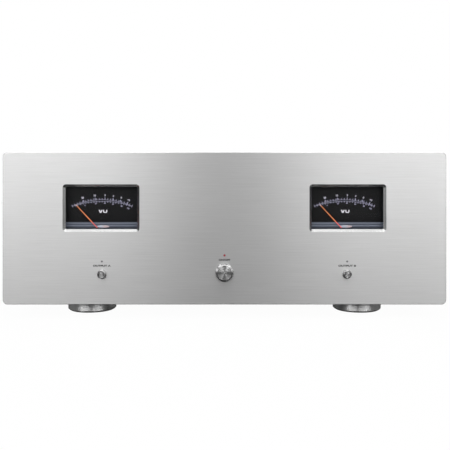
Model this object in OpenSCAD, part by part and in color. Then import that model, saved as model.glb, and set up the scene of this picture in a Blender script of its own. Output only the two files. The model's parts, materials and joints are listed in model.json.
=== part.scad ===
// Stereo hybrid power amplifier with two needle meters, as an assembly of separate pieces.
// Millimetres. The front faces -Y, X runs to the right and Z runs up from the floor.
// The origin lies on the floor, under the middle of the bounding box.

/* [Front panel] */
// Width of the front panel
panel_w = 430; // [410:1:480]
// Height of the front panel
panel_h = 147.5; // [138:0.5:175]
// Thickness of the front panel
panel_t = 10; // [9:0.5:14]
// Corner radius of the front panel, seen from the front
panel_r = 4.5; // [2:0.5:9]
// Bevel round the edge of the front face
panel_edge = 0.4; // [0.3:0.1:1.5]
// Height of the front panel's lower edge above the floor
panel_lift = 12.5; // [10:0.5:14]

/* [Case] */
// Depth from the front face to the outside of the rear panel
body_depth = 410; // [400:5:480]
// Thickness of the steel sheets: tray, subpanel, rear panel and cover
sheet_t = 2; // [1.5:0.1:3]
// Height of the tray's underside above the floor
case_lift = 15; // [13:0.5:18]
// How far the cover lies below the front panel's upper edge
cover_drop = 4.5; // [3.5:0.5:8]
// Length of one cooling slot in the cover
slot_l = 62; // [40:1:80]
// Width of one cooling slot in the cover
slot_w = 4; // [2.5:0.5:5]
// Distance from slot to slot
slot_pitch = 9; // [7:0.5:14]
// Slots in each row on the cover
slot_count = 13; // [5:1:15]

/* [Heat sinks] */
// How far the fin tips stay inside the front panel's ends
side_inset = 6; // [2:0.5:12]
// Thickness of a heat sink's base
sink_t = 8; // [7:0.5:12]
// Length of a fin
fin_len = 21; // [15:1:30]
// Thickness of a fin
fin_t = 2; // [1.5:0.1:3]
// Distance from fin to fin
fin_pitch = 9.5; // [7:0.5:14]

/* [Feet] */
// Diameter of a foot
foot_d = 49; // [40:0.5:60]
// Distance from the front panel's ends to the feet's centres
foot_inset = 77.5; // [60:0.5:100]
// Distance from the front face to the front feet's centres
foot_front = 45; // [40:1:80]
// Distance from the rear panel's outside to the rear feet's centres
foot_rear = 45; // [35:1:80]
// Bevel at a foot's lower edge
foot_edge = 1.2; // [0.4:0.1:2]
// Thickness of the rubber ring under a foot
pad_t = 0.8; // [0.6:0.1:3]
// How far the rubber ring stays inside the foot's edge
pad_inset = 1.5; // [0.5:0.1:4]
// Width of the rubber ring
pad_w = 11; // [5:0.5:14]

/* [Meters] */
// Distance from the front panel's ends to the meters' centres
meter_inset = 95.3; // [92:0.1:120]
// Height of the windows' centre above the front panel's centre
meter_up = 19.8; // [16:0.1:24]
// Clear width of a window
win_w = 69.8; // [60:0.1:74]
// Clear height of a window
win_h = 41.2; // [36:0.1:44]
// Corner radius of a window's clear opening
win_r = 0.8; // [0.4:0.1:3]
// Bevel round a window
win_bevel = 2.4; // [1.5:0.1:2.7]
// Thickness of the panel left in front of the meter
win_web = 3; // [2.8:0.1:4]
// Thickness of a meter's glass
glass_t = 2; // [1.5:0.1:2.5]
// How far the meter reaches past the window on each side
meter_rim = 7.1; // [5:0.1:9]
// How far the meter reaches past the window at the top
meter_top_rim = 3.4; // [2.5:0.1:5]
// Depth of a meter's case
meter_depth = 28; // [26:0.5:36]
// Wall of a meter's case
meter_wall = 2; // [1.2:0.1:2.5]
// Thickness of a dial plate
dial_t = 0.8; // [0.5:0.1:1.2]
// Thickness of the strip along a dial's lower edge
apron_t = 1; // [0.5:0.1:1.2]
// Height of the strip that shows in the window
apron_show = 6.6; // [4:0.1:10]
// Distance from a window's centre down to the needle's pivot
pivot_drop = 25; // [24:0.1:28]
// Length of a needle from its pivot to its tip
needle_len = 38.3; // [34:0.1:42]
// Width of a needle at its root
needle_w = 0.9; // [0.6:0.1:1.6]
// Lean of a resting needle to the left, in degrees
needle_rest = 42.8; // [35:0.1:45]
// Radius of a needle's hub
hub_r = 4; // [3:0.1:8]
// Outer radius of a meter's magnet ring
yoke_r = 12.5; // [12:0.1:13.5]
// Radius of a meter's magnet core
core_r = 6.8; // [6:0.1:7]

/* [Buttons and lights] */
// Diameter of the power button
power_d = 16.6; // [12:0.1:20]
// How far the power button stands out
power_proud = 5; // [4:0.1:7]
// Bevel round the power button's face
power_edge = 1.2; // [0.5:0.1:2]
// Travel of the power button
power_travel = 3; // [2:0.1:3.4]
// Distance from the front panel's centre down to the power button
power_down = 42.6; // [40:0.1:48]
// Diameter of a speaker button
speaker_d = 8.1; // [6:0.1:10]
// How far a speaker button stands out
speaker_proud = 3.5; // [2.8:0.1:4]
// Bevel round a speaker button's face
speaker_edge = 0.4; // [0.3:0.1:1.4]
// Travel of a speaker button
speaker_travel = 2.5; // [1.5:0.1:2.7]
// Distance from the front panel's ends to the speaker buttons and their lights
speaker_inset = 96.1; // [92:0.1:120]
// Distance from the front panel's centre down to the speaker buttons
speaker_down = 44.1; // [40:0.1:50]
// Radius of the power light
power_light_r = 1; // [0.8:0.1:2]
// Distance from the front panel's centre down to the power light
power_light_down = 26.1; // [24:0.1:30]
// Radius of a speaker light
speaker_light_r = 0.9; // [0.7:0.1:1.5]
// Distance from the front panel's centre down to the speaker lights
speaker_light_down = 32; // [30:0.1:36]

/* [Power supply] */
// Diameter of the toroidal transformer
toroid_d = 140; // [110:1:150]
// Height of the toroidal transformer
toroid_h = 60; // [40:1:75]
// Diameter of the transformer's hole
toroid_hole = 40; // [25:1:50]
// Diameter of a filter capacitor
cap_d = 40; // [30:1:45]
// Height of a filter capacitor
cap_h = 75; // [50:1:90]
// Number of filter capacitors in the row
cap_count = 4; // [2:1:4]

/* [Rear connections] */
// Height of the speaker terminals above the tray
term_up = 40; // [30:1:60]
// Distance from the middle to the first terminal
term_x = 58; // [54:1:64]
// Distance between the two terminals of a pair
term_pitch = 26; // [22:1:28]
// Distance from pair to pair
pair_pitch = 60; // [56:1:62]
// Radius of a terminal's stud
stud_r = 3.6; // [3:0.1:4.5]
// Radius of the plug hole in a stud
plug_r = 2; // [1.5:0.05:2.2]
// Depth of the plug hole in a stud
plug_l = 14; // [10:0.5:16]
// Radius of a terminal's cap
cap_r = 8; // [7:0.1:9]
// Length of a terminal's cap
cap_l = 18; // [14:0.5:22]
// Height of the input sockets above the tray
input_up = 95; // [80:1:105]
// Distance from the middle to an input socket
input_x = 100; // [60:1:120]
// Outer radius of an input socket's shell
shell_r = 4.15; // [4:0.05:4.3]
// Length of an input socket's shell
shell_l = 9; // [7.5:0.5:11]
// Height of the mains inlet above the tray
inlet_up = 36; // [30:1:60]
// Travel of the fuse drawer
drawer_travel = 14; // [8:0.5:16]

/* [Tubes] */
// Radius of a tube
tube_r = 11; // [9:0.5:12]
// Height of a tube
tube_h = 52; // [40:1:65]
// Distance from tube to tube
tube_pitch = 34; // [28:1:36]

/* [Hidden] */
$fn = 48;

// Clearances: a piece in its pocket, a screw in its hole, a shaft in its bearing, a button in its hole
fit = 0.3;
screw_fit = 0.05;
run_fit = 0.05;
button_fit = 0.2;
// Overcut that lets a cut pass a face
cut = 1;

// Screws: shank radius, head radius and head height
screw_r = 1.45;
head_r = 2.8;
head_h = 1.8;
head_taper = 0.5;
screw_l = 10;
fascia_grip = 6;
fascia_screw_x = 14;
fascia_screw_z = 8;

// Speaker terminals: base plate, collar, gap under a tightened cap, stud beyond the cap
base_t = 4;
collar_t = 2;
cap_gap = 0.4;
stud_show = 0.6;
terminal_out = base_t + collar_t + cap_gap + cap_l + stud_show;

// Main planes
overall_depth = power_proud + body_depth + terminal_out;
y_front = -overall_depth / 2 + power_proud;
y_sub = y_front + panel_t;
y_in = y_sub + sheet_t;
y_rear = y_front + body_depth;
y_rear_in = y_rear - sheet_t;
z_mid = panel_lift + panel_h / 2;
z_tray = case_lift + sheet_t;
z_cover = panel_lift + panel_h - cover_drop - sheet_t;
wall_h = z_cover - z_tray;
case_w = panel_w - 2 * (side_inset + fin_len);
inner_x = case_w / 2 - sink_t;
sink_x = case_w / 2 - sink_t / 2;
sink_l = y_rear_in - y_in;
sink_mid_y = (y_in + y_rear_in) / 2;
foot_x = panel_w / 2 - foot_inset;
foot_y = [y_front + foot_front, y_rear - foot_rear];
slot_row_gap = 14;

// Meter planes, as depths behind the front face
meter_x = panel_w / 2 - meter_inset;
meter_z = z_mid + meter_up;
meter_w = win_w + 2 * meter_rim;
movement_gap = 1.8;
meter_top = win_h / 2 + meter_top_rim;
meter_bottom = pivot_drop + yoke_r + movement_gap + meter_wall;
meter_h = meter_top + meter_bottom;
meter_mid = (meter_top - meter_bottom) / 2;
meter_r = 2;
glass_back = win_web + glass_t;
case_back = glass_back + meter_depth;
case_floor = case_back - meter_wall;
needle_clear = 1.5;
hub_d = glass_back + needle_clear;
hub_t = 1;
needle_t = 0.5;
tail_past_hub = 3;
tail_w = 2.4;
apron_clear = 0.8;
apron_d = hub_d + hub_t + apron_clear;
dial_d = apron_d + apron_t;
dial_back = dial_d + dial_t;
dial_lift = 3.7;
dial_low = pivot_drop - dial_lift;
dial_rim = 1.5;
apron_top = win_h / 2 - apron_show;
pivot_r = 0.8;
bridge_t = 1.5;
bridge_h = 5;
bridge_clear = 0.6;
bridge_d = dial_back + bridge_clear;
coil_gap = 0.9;
coil_d = bridge_d + bridge_t + coil_gap;
coil_l = 12.5;
coil_t = 1.4;
coil_w = 3.2;
coil_clear = 0.8;
coil_in = core_r + coil_clear;
coil_out = coil_in + coil_t;
yoke_clear = 1;
yoke_in = coil_out + yoke_clear;
yoke_d = coil_d + coil_t;
core_gap = 0.6;
rear_bridge_d = coil_d + coil_l + coil_gap;
ear_w = 9;
ear_h = 14;
ear_t = 2.5;
post_r = 2.5;
post_inset = 6;
post_x = win_w / 2 - post_inset;
web_sink = 0.5;
pillar_play = 0.1;

// Controls
power_z = z_mid - power_down;
speaker_x = panel_w / 2 - speaker_inset;
speaker_z = z_mid - speaker_down;
power_light_z = z_mid - power_light_down;
speaker_light_z = z_mid - speaker_light_down;
button_web = 4;
button_in = panel_t - button_web;
power_stem_r = 3;
speaker_stem_r = 1.5;
stem_clear = 1;
switch_gap = 6;
switch_d = panel_t + sheet_t + switch_gap;
stem_in = 5;
power_switch_w = 20;
speaker_switch_w = 12;
light_proud = 0.2;
control_gap = 1.5;
control_d = case_back + control_gap;
board_t = 1.6;
control_margin = 4;
control_w = 2 * (speaker_x + speaker_switch_w / 2 + control_margin);
control_top = power_light_z + power_light_r + control_margin;
control_low = power_z - power_switch_w / 2 - control_margin;

// Transformer
toroid_gap = 14;
toroid_y = y_front + control_d + board_t + toroid_gap + toroid_d / 2;
toroid_round = 9;
cushion_t = 3;
clamp_t = 3;
bolt_r = 4;
bolt_head_r = 7;
bolt_head_h = 5;
nut_h = 4;
toroid_z = z_tray + cushion_t;
clamp_z = toroid_z + toroid_h + cushion_t;

// Boards behind the transformer
bay_gap = 10;
standoff_h = 10;
standoff_r = 3;
board_z = z_tray + standoff_h;
deck_z = board_z + board_t;
board_margin = 8;
cap_space = 8;
cap_pitch = cap_d + cap_space;
supply_w = cap_count * cap_pitch + 2 * board_margin;
supply_l = cap_d + 2 * board_margin;
supply_y = toroid_y + toroid_d / 2 + bay_gap;
rectifier_w = 28;
rectifier_h = 10;
rectifier_x = supply_w / 2 + bay_gap + rectifier_w / 2;
tube_count = 4;
socket_rim = 1;
socket_r = tube_r + socket_rim;
socket_h = 10;
relay_w = 24;
relay_l = 40;
relay_h = 22;
relay_x = tube_count / 2 * tube_pitch + bay_gap + relay_w / 2;
tube_w = 2 * (relay_x + relay_w / 2 + board_margin);
tube_l = relay_l + 2 * board_margin;
tube_y = supply_y + supply_l + bay_gap;
glass_wall = 1;

// Boards and transistors on the heat sinks
transistor_t = 5;
transistor_w = 20;
transistor_h = 26;
transistor_pitch = 52;
transistor_count = 4;
amp_off = 14;
amp_l = transistor_count * transistor_pitch + 2 * board_margin;
amp_h = 84;
amp_lift = 18;
amp_z = z_tray + amp_lift;
transistor_z = amp_z + amp_h / 2;
leg_w = 1;

// Rear connections
term_z = z_tray + term_up;
input_z = z_tray + input_up;
inlet_z = z_tray + inlet_up;
neck_wall = 1.6;
base_neck_r = stud_r + neck_wall;
nut_rim = 3;
stud_nut_r = stud_r + nut_rim;
stud_nut_l = 4;
stud_in = 16;
collar_r = stud_r + nut_rim;
base_rim = 3;
base_h = 2 * (cap_r + base_rim);
flute_count = 16;
flute_r = 0.9;
cap_y = y_rear + base_t + collar_t + cap_gap;
stud_end = cap_y + cap_l + stud_show;
shell_flange_r = 7;
shell_flange_t = 2.5;
shell_wall = 0.75;
shell_bush_r = 4.8;
inlet_w = 31;
inlet_h = 36;
inlet_in = 26;
inlet_flange_w = 50;
inlet_flange_t = 3;
inlet_r = 2;
inlet_screw_x = 20;
well_w = 24.4;
well_h = 16.4;
well_l = 17;
well_down = 6;
blade_l = 13.5;
blade_x = 7;
blade_w = 4;
blade_t = 2;
blade_up = 2;
tab_l = 7;
drawer_w = 22;
drawer_h = 8;
drawer_l = 19;
drawer_up = 10.5;
drawer_fit = 0.15;
drawer_lip = 1.5;

// A plate along Y from depth y0, with the outline drawn in X and Z
module slab(y0, t) {
  translate([0, y0 + t, 0])
    rotate([90, 0, 0])
      linear_extrude(t)
        children();
}

// A round rod along Y from y0
module rod(r, y0, l) {
  translate([0, y0, 0])
    rotate([-90, 0, 0])
      cylinder(r = r, h = l);
}

// A block centred on X and Z that runs along Y from y0
module block(w, l, h, y0) {
  translate([-w / 2, y0, -h / 2])
    cube([w, l, h]);
}

// A rectangle with round corners
module round_rect(w, h, r) {
  square([w, h - 2 * r], center = true);
  square([w - 2 * r, h], center = true);
  for (x = [-1, 1], z = [-1, 1])
    translate([x * (w / 2 - r), z * (h / 2 - r)])
      circle(r);
}

// A round-cornered block along Y whose outline grows by a bevel towards its front, at y = 0
module bevel_block(w, h, r, l, grow) {
  rotate([90, 0, 90])
    linear_extrude(w - 2 * r, center = true)
      polygon([[0, -h / 2 - grow], [0, h / 2 + grow], [l, h / 2], [l, -h / 2]]);
  linear_extrude(h - 2 * r, center = true)
    polygon([[-w / 2 - grow, 0], [w / 2 + grow, 0], [w / 2, l], [-w / 2, l]]);
  for (x = [-1, 1], z = [-1, 1])
    translate([x * (w / 2 - r), 0, z * (h / 2 - r)])
      rotate([-90, 0, 0])
        cylinder(r1 = r + grow, r2 = r, h = l);
}

// Places: a meter's window centre on the front face, left (-1) or right (1)
module at_meter(side) {
  translate([side * meter_x, y_front, meter_z])
    children();
}

// A needle's pivot
module at_pivot(side) {
  at_meter(side)
    translate([0, 0, -pivot_drop])
      children();
}

// Holes in the fascia and the subpanel for the screws that join them
module at_fascia_screws() {
  for (x = [-1, 1], z = [z_tray + fascia_screw_z, z_cover - fascia_screw_z])
    translate([x * (inner_x - fascia_screw_x), 0, z])
      children();
}

// Screws in the ears of the meters
module at_ear_screws() {
  for (side = [-1, 1], x = [-1, 1])
    translate([side * meter_x + x * (meter_w / 2 + ear_w / 2), 0, meter_z])
      children();
}

// Screws in the ends of the heat sinks
module at_sink_ends() {
  for (x = [-1, 1], z = [z_tray + wall_h * 0.25, z_tray + wall_h * 0.75])
    translate([x * sink_x, 0, z])
      children();
}

// Screws along the heat sinks, seen from above
module at_sink_edge(count) {
  for (x = [-1, 1], i = [0 : count - 1])
    translate([x * sink_x, y_in + sink_l * (i + 0.5) / count, 0])
      children();
}

// The four feet
module at_feet() {
  for (x = [-1, 1], y = foot_y)
    translate([x * foot_x, y, 0])
      children();
}

// The speaker terminals: side, pair and pole
module at_terminal(side, pair, pole) {
  translate([side * (term_x + pair * pair_pitch + pole * term_pitch), 0, term_z])
    children();
}

module at_terminals() {
  for (side = [-1, 1], pair = [0, 1], pole = [0, 1])
    at_terminal(side, pair, pole)
      children();
}

module at_inputs() {
  for (x = [-1, 1])
    translate([x * input_x, 0, input_z])
      children();
}

// A pan-head screw that points along +Z, its head below z = 0
module screw(l) {
  cylinder(r = screw_r, h = l);
  translate([0, 0, -head_h])
    difference() {
      cylinder(r1 = head_r - head_taper, r2 = head_r, h = head_h);
      translate([0, 0, -cut])
        cylinder(r = head_r * 0.42, h = cut + head_h * 0.6, $fn = 6);
    }
}

module screw_hole(l) {
  cylinder(r = screw_r + screw_fit, h = l);
}

// One window's cut with the pocket for the meter behind it
module window_cut() {
  translate([0, -cut, 0])
    bevel_block(win_w, win_h, win_r, win_bevel + cut, win_bevel + cut);
  slab(win_bevel - cut, panel_t)
    round_rect(win_w, win_h, win_r);
  translate([0, 0, meter_mid])
    slab(win_web, panel_t)
      round_rect(meter_w + 2 * fit, meter_h + 2 * fit, meter_r + fit);
}

module front_panel() {
  color("silver")
    difference() {
      union() {
        translate([0, y_front, z_mid])
          bevel_block(panel_w, panel_h, panel_r, panel_edge, -panel_edge);
        translate([0, 0, z_mid])
          slab(y_front + panel_edge, panel_t - panel_edge)
            round_rect(panel_w, panel_h, panel_r);
      }
      for (side = [-1, 1])
        at_meter(side)
          window_cut();
      translate([0, 0, power_z])
        rod(power_d / 2 + button_fit, y_front - cut, panel_t + 2 * cut);
      translate([0, 0, power_light_z])
        rod(power_light_r + screw_fit, y_front - cut, panel_t + 2 * cut);
      for (side = [-1, 1]) {
        translate([side * speaker_x, 0, speaker_z])
          rod(speaker_d / 2 + button_fit, y_front - cut, panel_t + 2 * cut);
        translate([side * speaker_x, 0, speaker_light_z])
          rod(speaker_light_r + screw_fit, y_front - cut, panel_t + 2 * cut);
      }
      at_fascia_screws()
        rod(screw_r + screw_fit, y_sub - fascia_grip - cut, fascia_grip + 2 * cut);
      at_ear_screws()
        rod(screw_r + screw_fit, y_sub - fascia_grip - cut, fascia_grip + 2 * cut);
      at_sink_ends()
        rod(head_r + fit, y_sub - head_h - fit, head_h + fit + cut);
    }
}

module front_subpanel() {
  color("dimgray")
    difference() {
      translate([0, y_sub, z_tray + wall_h / 2])
        block(case_w, sheet_t, wall_h, 0);
      for (side = [-1, 1]) {
        at_meter(side)
          translate([0, 0, meter_mid])
            slab(panel_t - cut, sheet_t + 2 * cut)
              round_rect(meter_w + 2 * fit, meter_h + 2 * fit, meter_r + fit);
        translate([side * speaker_x, 0, speaker_z])
          rod(speaker_stem_r + stem_clear, y_sub - cut, sheet_t + 2 * cut);
        translate([side * speaker_x, 0, speaker_light_z])
          rod(speaker_light_r + fit, y_sub - cut, sheet_t + 2 * cut);
      }
      translate([0, 0, power_z])
        rod(power_stem_r + stem_clear, y_sub - cut, sheet_t + 2 * cut);
      translate([0, 0, power_light_z])
        rod(power_light_r + fit, y_sub - cut, sheet_t + 2 * cut);
      at_fascia_screws()
        rod(screw_r + screw_fit, y_sub - cut, sheet_t + 2 * cut);
      at_ear_screws()
        rod(screw_r + screw_fit, y_sub - cut, sheet_t + 2 * cut);
      at_sink_ends()
        rod(screw_r + screw_fit, y_sub - cut, sheet_t + 2 * cut);
    }
}

// A row of round-ended slots along Y, spread over X
module slot_row(count, l) {
  for (i = [0 : count - 1])
    translate([(i - (count - 1) / 2) * slot_pitch, 0]) {
      square([slot_w, l - slot_w], center = true);
      for (y = [-1, 1])
        translate([0, y * (l - slot_w) / 2])
          circle(slot_w / 2);
    }
}

module chassis_tray() {
  color("dimgray")
    difference() {
      translate([-case_w / 2, y_sub, case_lift])
        cube([case_w, y_rear - y_sub, sheet_t]);
      translate([0, tube_y + tube_l / 2, case_lift - cut])
        linear_extrude(sheet_t + 2 * cut)
          slot_row(slot_count, slot_l / 2);
      at_feet()
        translate([0, 0, case_lift - cut])
          screw_hole(sheet_t + 2 * cut);
      at_sink_edge(3)
        translate([0, 0, case_lift - cut])
          screw_hole(sheet_t + 2 * cut);
      translate([0, toroid_y, case_lift - cut])
        cylinder(r = bolt_r + fit, h = sheet_t + 2 * cut);
    }
}

module rear_panel() {
  color([0.12, 0.12, 0.13])
    difference() {
      translate([0, y_rear_in, z_tray + wall_h / 2])
        block(case_w, sheet_t, wall_h, 0);
      at_terminals()
        rod(base_neck_r + fit, y_rear_in - cut, sheet_t + 2 * cut);
      at_inputs()
        rod(shell_bush_r + fit, y_rear_in - cut, sheet_t + 2 * cut);
      translate([0, 0, inlet_z])
        block(inlet_w + 2 * fit, sheet_t + 2 * cut, inlet_h + 2 * fit, y_rear_in - cut);
      at_sink_ends()
        rod(screw_r + screw_fit, y_rear_in - cut, sheet_t + 2 * cut);
      for (x = [-1, 1])
        translate([x * inlet_screw_x, 0, inlet_z])
          rod(screw_r + screw_fit, y_rear_in - cut, sheet_t + 2 * cut);
    }
}

module top_cover() {
  color([0.12, 0.12, 0.13])
    translate([0, 0, z_cover])
      difference() {
        translate([-case_w / 2, y_sub, 0])
          cube([case_w, y_rear - y_sub, sheet_t]);
        for (side = [-1, 1], row = [0 : 2])
          translate([side * inner_x / 2, sink_mid_y + (row - 1) * (slot_l + slot_row_gap), -cut])
            linear_extrude(sheet_t + 2 * cut)
              slot_row(slot_count, slot_l);
        at_sink_edge(4)
          translate([0, 0, -cut])
            screw_hole(sheet_t + 2 * cut);
      }
}

// A heat sink on the left (-1) or the right (1): a base with upright fins outside it
module heatsink(side) {
  fin_count = floor((sink_l - fin_t) / fin_pitch) + 1;
  fin_start = sink_mid_y - (fin_count - 1) * fin_pitch / 2;
  difference() {
    translate([side * sink_x, 0, z_tray + wall_h / 2])
      block(sink_t, sink_l, wall_h, y_in);
    at_sink_ends() {
      rod(screw_r + screw_fit, y_in - cut, screw_l + cut);
      rod(screw_r + screw_fit, y_rear_in - screw_l, screw_l + cut);
    }
    at_sink_edge(3)
      translate([0, 0, z_tray - cut])
        screw_hole(screw_l + cut);
    at_sink_edge(4)
      translate([0, 0, z_cover - screw_l])
        screw_hole(screw_l + cut);
  }
  for (i = [0 : fin_count - 1])
    translate([side * (case_w + fin_len) / 2, fin_start + i * fin_pitch, z_tray + wall_h / 2])
      cube([fin_len, fin_t, wall_h], center = true);
}

module heatsink_left() {
  color([0.1, 0.1, 0.11])
    heatsink(-1);
}

module heatsink_right() {
  color([0.1, 0.1, 0.11])
    heatsink(1);
}

// A turned foot with a recess for its screw's head
module feet() {
  color("silver")
    at_feet()
      difference() {
        union() {
          translate([0, 0, pad_t])
            cylinder(r1 = foot_d / 2 - foot_edge, r2 = foot_d / 2, h = foot_edge);
          translate([0, 0, pad_t + foot_edge])
            cylinder(d = foot_d, h = case_lift - pad_t - foot_edge);
        }
        cylinder(r = head_r + fit, h = case_lift - screw_l / 2);
        translate([0, 0, pad_t])
          screw_hole(case_lift);
      }
}

module foot_pads() {
  pad_r = foot_d / 2 - foot_edge - pad_inset;
  color([0.08, 0.08, 0.08])
    at_feet()
      difference() {
        cylinder(r = pad_r, h = pad_t);
        translate([0, 0, -cut])
          cylinder(r = pad_r - pad_w, h = pad_t + 2 * cut);
      }
}

// Screws that hold the feet, the heat sinks and the mains inlet
module chassis_screws() {
  color("gray") {
    at_feet()
      translate([0, 0, case_lift - screw_l / 2])
        screw(screw_l / 2 + sheet_t);
    at_sink_edge(3)
      translate([0, 0, case_lift])
        screw(sheet_t + screw_l - fit);
    at_sink_ends() {
      translate([0, y_sub, 0])
        rotate([-90, 0, 0])
          screw(sheet_t + screw_l - fit);
      translate([0, y_rear, 0])
        rotate([90, 0, 0])
          screw(sheet_t + screw_l - fit);
    }
    for (x = [-1, 1])
      translate([x * inlet_screw_x, y_rear + inlet_flange_t, inlet_z])
        rotate([90, 0, 0])
          screw(inlet_flange_t + sheet_t + cut);
  }
}

module cover_screws() {
  color([0.1, 0.1, 0.1])
    at_sink_edge(4)
      translate([0, 0, z_cover + sheet_t])
        rotate([180, 0, 0])
          screw(sheet_t + screw_l - fit);
}

module fascia_screws() {
  color("gray") {
    at_fascia_screws()
      translate([0, y_in, 0])
        rotate([90, 0, 0])
          screw(sheet_t + fascia_grip);
    at_ear_screws()
      translate([0, y_in + ear_t, 0])
        rotate([90, 0, 0])
          screw(ear_t + sheet_t + fascia_grip);
  }
}

// A meter's case: an open box with posts that carry the dial and ears behind the subpanel
module meter_case(side) {
  at_meter(side) {
    difference() {
      translate([0, 0, meter_mid])
        slab(glass_back, meter_depth)
          round_rect(meter_w, meter_h, meter_r);
      translate([0, 0, meter_mid])
        block(meter_w - 2 * meter_wall, case_floor - glass_back + cut,
          meter_h - 2 * meter_wall, glass_back - cut);
    }
    for (x = [-1, 1], z = [-dial_low + 2 * post_r, win_h / 2 - 2 * post_r])
      translate([x * post_x, 0, z])
        rod(post_r, dial_back, case_floor - dial_back + meter_wall / 2);
    for (x = [-1, 1])
      translate([x * (meter_w / 2 + ear_w / 2), 0, 0])
        difference() {
          block(ear_w, ear_t, ear_h, panel_t + sheet_t);
          rod(screw_r + screw_fit, panel_t + sheet_t - cut, ear_t + 2 * cut);
        }
  }
}

module meter_case_left() {
  color([0.08, 0.08, 0.09])
    meter_case(-1);
}

module meter_case_right() {
  color([0.08, 0.08, 0.09])
    meter_case(1);
}

module meter_glass(side) {
  at_meter(side)
    translate([0, 0, meter_mid])
      slab(win_web, glass_t)
        round_rect(meter_w, meter_h, meter_r);
}

module meter_glass_left() {
  color([0.8, 0.85, 0.9, 0.3])
    meter_glass(-1);
}

module meter_glass_right() {
  color([0.8, 0.85, 0.9, 0.3])
    meter_glass(1);
}

// A dial plate on its posts, with its lower edge just above the pivot
module meter_dial(side) {
  dial_w = meter_w - 2 * (meter_wall + dial_rim);
  dial_top = meter_top - meter_wall - dial_rim;
  at_meter(side)
    translate([0, 0, (dial_top - dial_low) / 2])
      block(dial_w, dial_t, dial_top + dial_low, dial_d);
}

module meter_dial_left() {
  color([0.07, 0.07, 0.08])
    meter_dial(-1);
}

module meter_dial_right() {
  color([0.07, 0.07, 0.08])
    meter_dial(1);
}

// The slate strips on the dials' lower edges
module meter_aprons() {
  apron_w = meter_w - 2 * (meter_wall + dial_rim);
  color([0.35, 0.37, 0.43])
    for (side = [-1, 1])
      at_meter(side)
        translate([0, 0, -(apron_top + dial_low) / 2])
          block(apron_w, apron_t, dial_low - apron_top, apron_d);
}

// A needle with its hub, its balance tail and the front half of its shaft
module meter_needle(side) {
  tip_w = needle_w * 0.6;
  tail_l = hub_r + tail_past_hub;
  at_pivot(side)
    rotate([0, -needle_rest, 0]) {
      slab(hub_d + (hub_t - needle_t) / 2, needle_t)
        polygon([[-needle_w / 2, 0], [needle_w / 2, 0], [tip_w / 2, needle_len], [-tip_w / 2, needle_len]]);
      slab(hub_d + (hub_t - needle_t) / 2, needle_t)
        polygon([[-tail_w / 2, -tail_l], [tail_w / 2, -tail_l], [tail_w / 2, 0], [-tail_w / 2, 0]]);
      rod(hub_r, hub_d, hub_t);
      rod(pivot_r, hub_d, coil_d - hub_d);
    }
}

module meter_needle_left() {
  color("orangered")
    meter_needle(-1);
}

module meter_needle_right() {
  color("orangered")
    meter_needle(1);
}

// A moving coil round the magnet's core, with the rear half of the shaft
module meter_coil(side) {
  at_pivot(side)
    rotate([0, -needle_rest, 0]) {
      difference() {
        block(2 * coil_out, coil_l, coil_w, coil_d);
        block(2 * coil_in, coil_l - 2 * coil_t, coil_w + 2 * cut, coil_d + coil_t);
      }
      rod(pivot_r, coil_d + coil_l - coil_t / 2, coil_t / 2 + coil_gap + bridge_t);
    }
}

module meter_coil_left() {
  color([0.7, 0.4, 0.2])
    meter_coil(-1);
}

module meter_coil_right() {
  color([0.7, 0.4, 0.2])
    meter_coil(1);
}

// A magnet ring with its core on two webs and a bearing bridge at each end of the coil
module meter_magnet(side) {
  core_l = coil_l - 2 * (coil_t + core_gap);
  web_w = core_r * 0.75;
  pillar_r = (yoke_r - yoke_in) / 2 - pillar_play;
  pillar_x = (yoke_r + yoke_in) / 2;
  at_pivot(side)
    difference() {
      union() {
        difference() {
          rod(yoke_r, yoke_d, case_floor - yoke_d);
          rod(yoke_in, yoke_d - cut, case_floor - yoke_d + 2 * cut);
        }
        rod(core_r, coil_d + coil_t + core_gap, core_l);
        block(web_w, core_l, 2 * (yoke_in + web_sink), coil_d + coil_t + core_gap);
        block(2 * yoke_r, bridge_t, bridge_h, bridge_d);
        block(2 * (yoke_in + web_sink), bridge_t, bridge_h, rear_bridge_d);
        for (x = [-1, 1])
          translate([x * pillar_x, 0, 0])
            rod(pillar_r, bridge_d + bridge_t / 2, yoke_d - bridge_d);
      }
      rod(pivot_r + run_fit, bridge_d - cut, bridge_t + 2 * cut);
      rod(pivot_r + run_fit, rear_bridge_d - cut, bridge_t + 2 * cut);
    }
}

module meter_magnet_left() {
  color("slategray")
    meter_magnet(-1);
}

module meter_magnet_right() {
  color("slategray")
    meter_magnet(1);
}

// A push button at rest: a cap with a bevelled face and a stem that reaches into its switch
module push_button(d, proud, edge, stem_r) {
  translate([0, y_front, 0]) {
    rotate([-90, 0, 0]) {
      translate([0, 0, -proud])
        cylinder(r1 = d / 2 - edge, r2 = d / 2, h = edge);
      translate([0, 0, edge - proud])
        cylinder(d = d, h = proud - edge + button_in);
    }
    rod(stem_r, button_in - cut, switch_d + stem_in - button_in + cut);
  }
}

// A switch body with the bore that guides a button's stem
module switch_body(w, stem_r, travel) {
  translate([0, y_front, 0])
    difference() {
      block(w, control_d - switch_d, w, switch_d);
      rod(stem_r + run_fit, switch_d - cut, cut + stem_in + travel + fit);
    }
}

module power_button() {
  color("silver")
    translate([0, 0, power_z])
      push_button(power_d, power_proud, power_edge, power_stem_r);
}

module speaker_a_button() {
  color("gray")
    translate([-speaker_x, 0, speaker_z])
      push_button(speaker_d, speaker_proud, speaker_edge, speaker_stem_r);
}

module speaker_b_button() {
  color("gray")
    translate([speaker_x, 0, speaker_z])
      push_button(speaker_d, speaker_proud, speaker_edge, speaker_stem_r);
}

module power_switch() {
  color([0.15, 0.15, 0.15])
    translate([0, 0, power_z])
      switch_body(power_switch_w, power_stem_r, power_travel);
}

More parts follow.
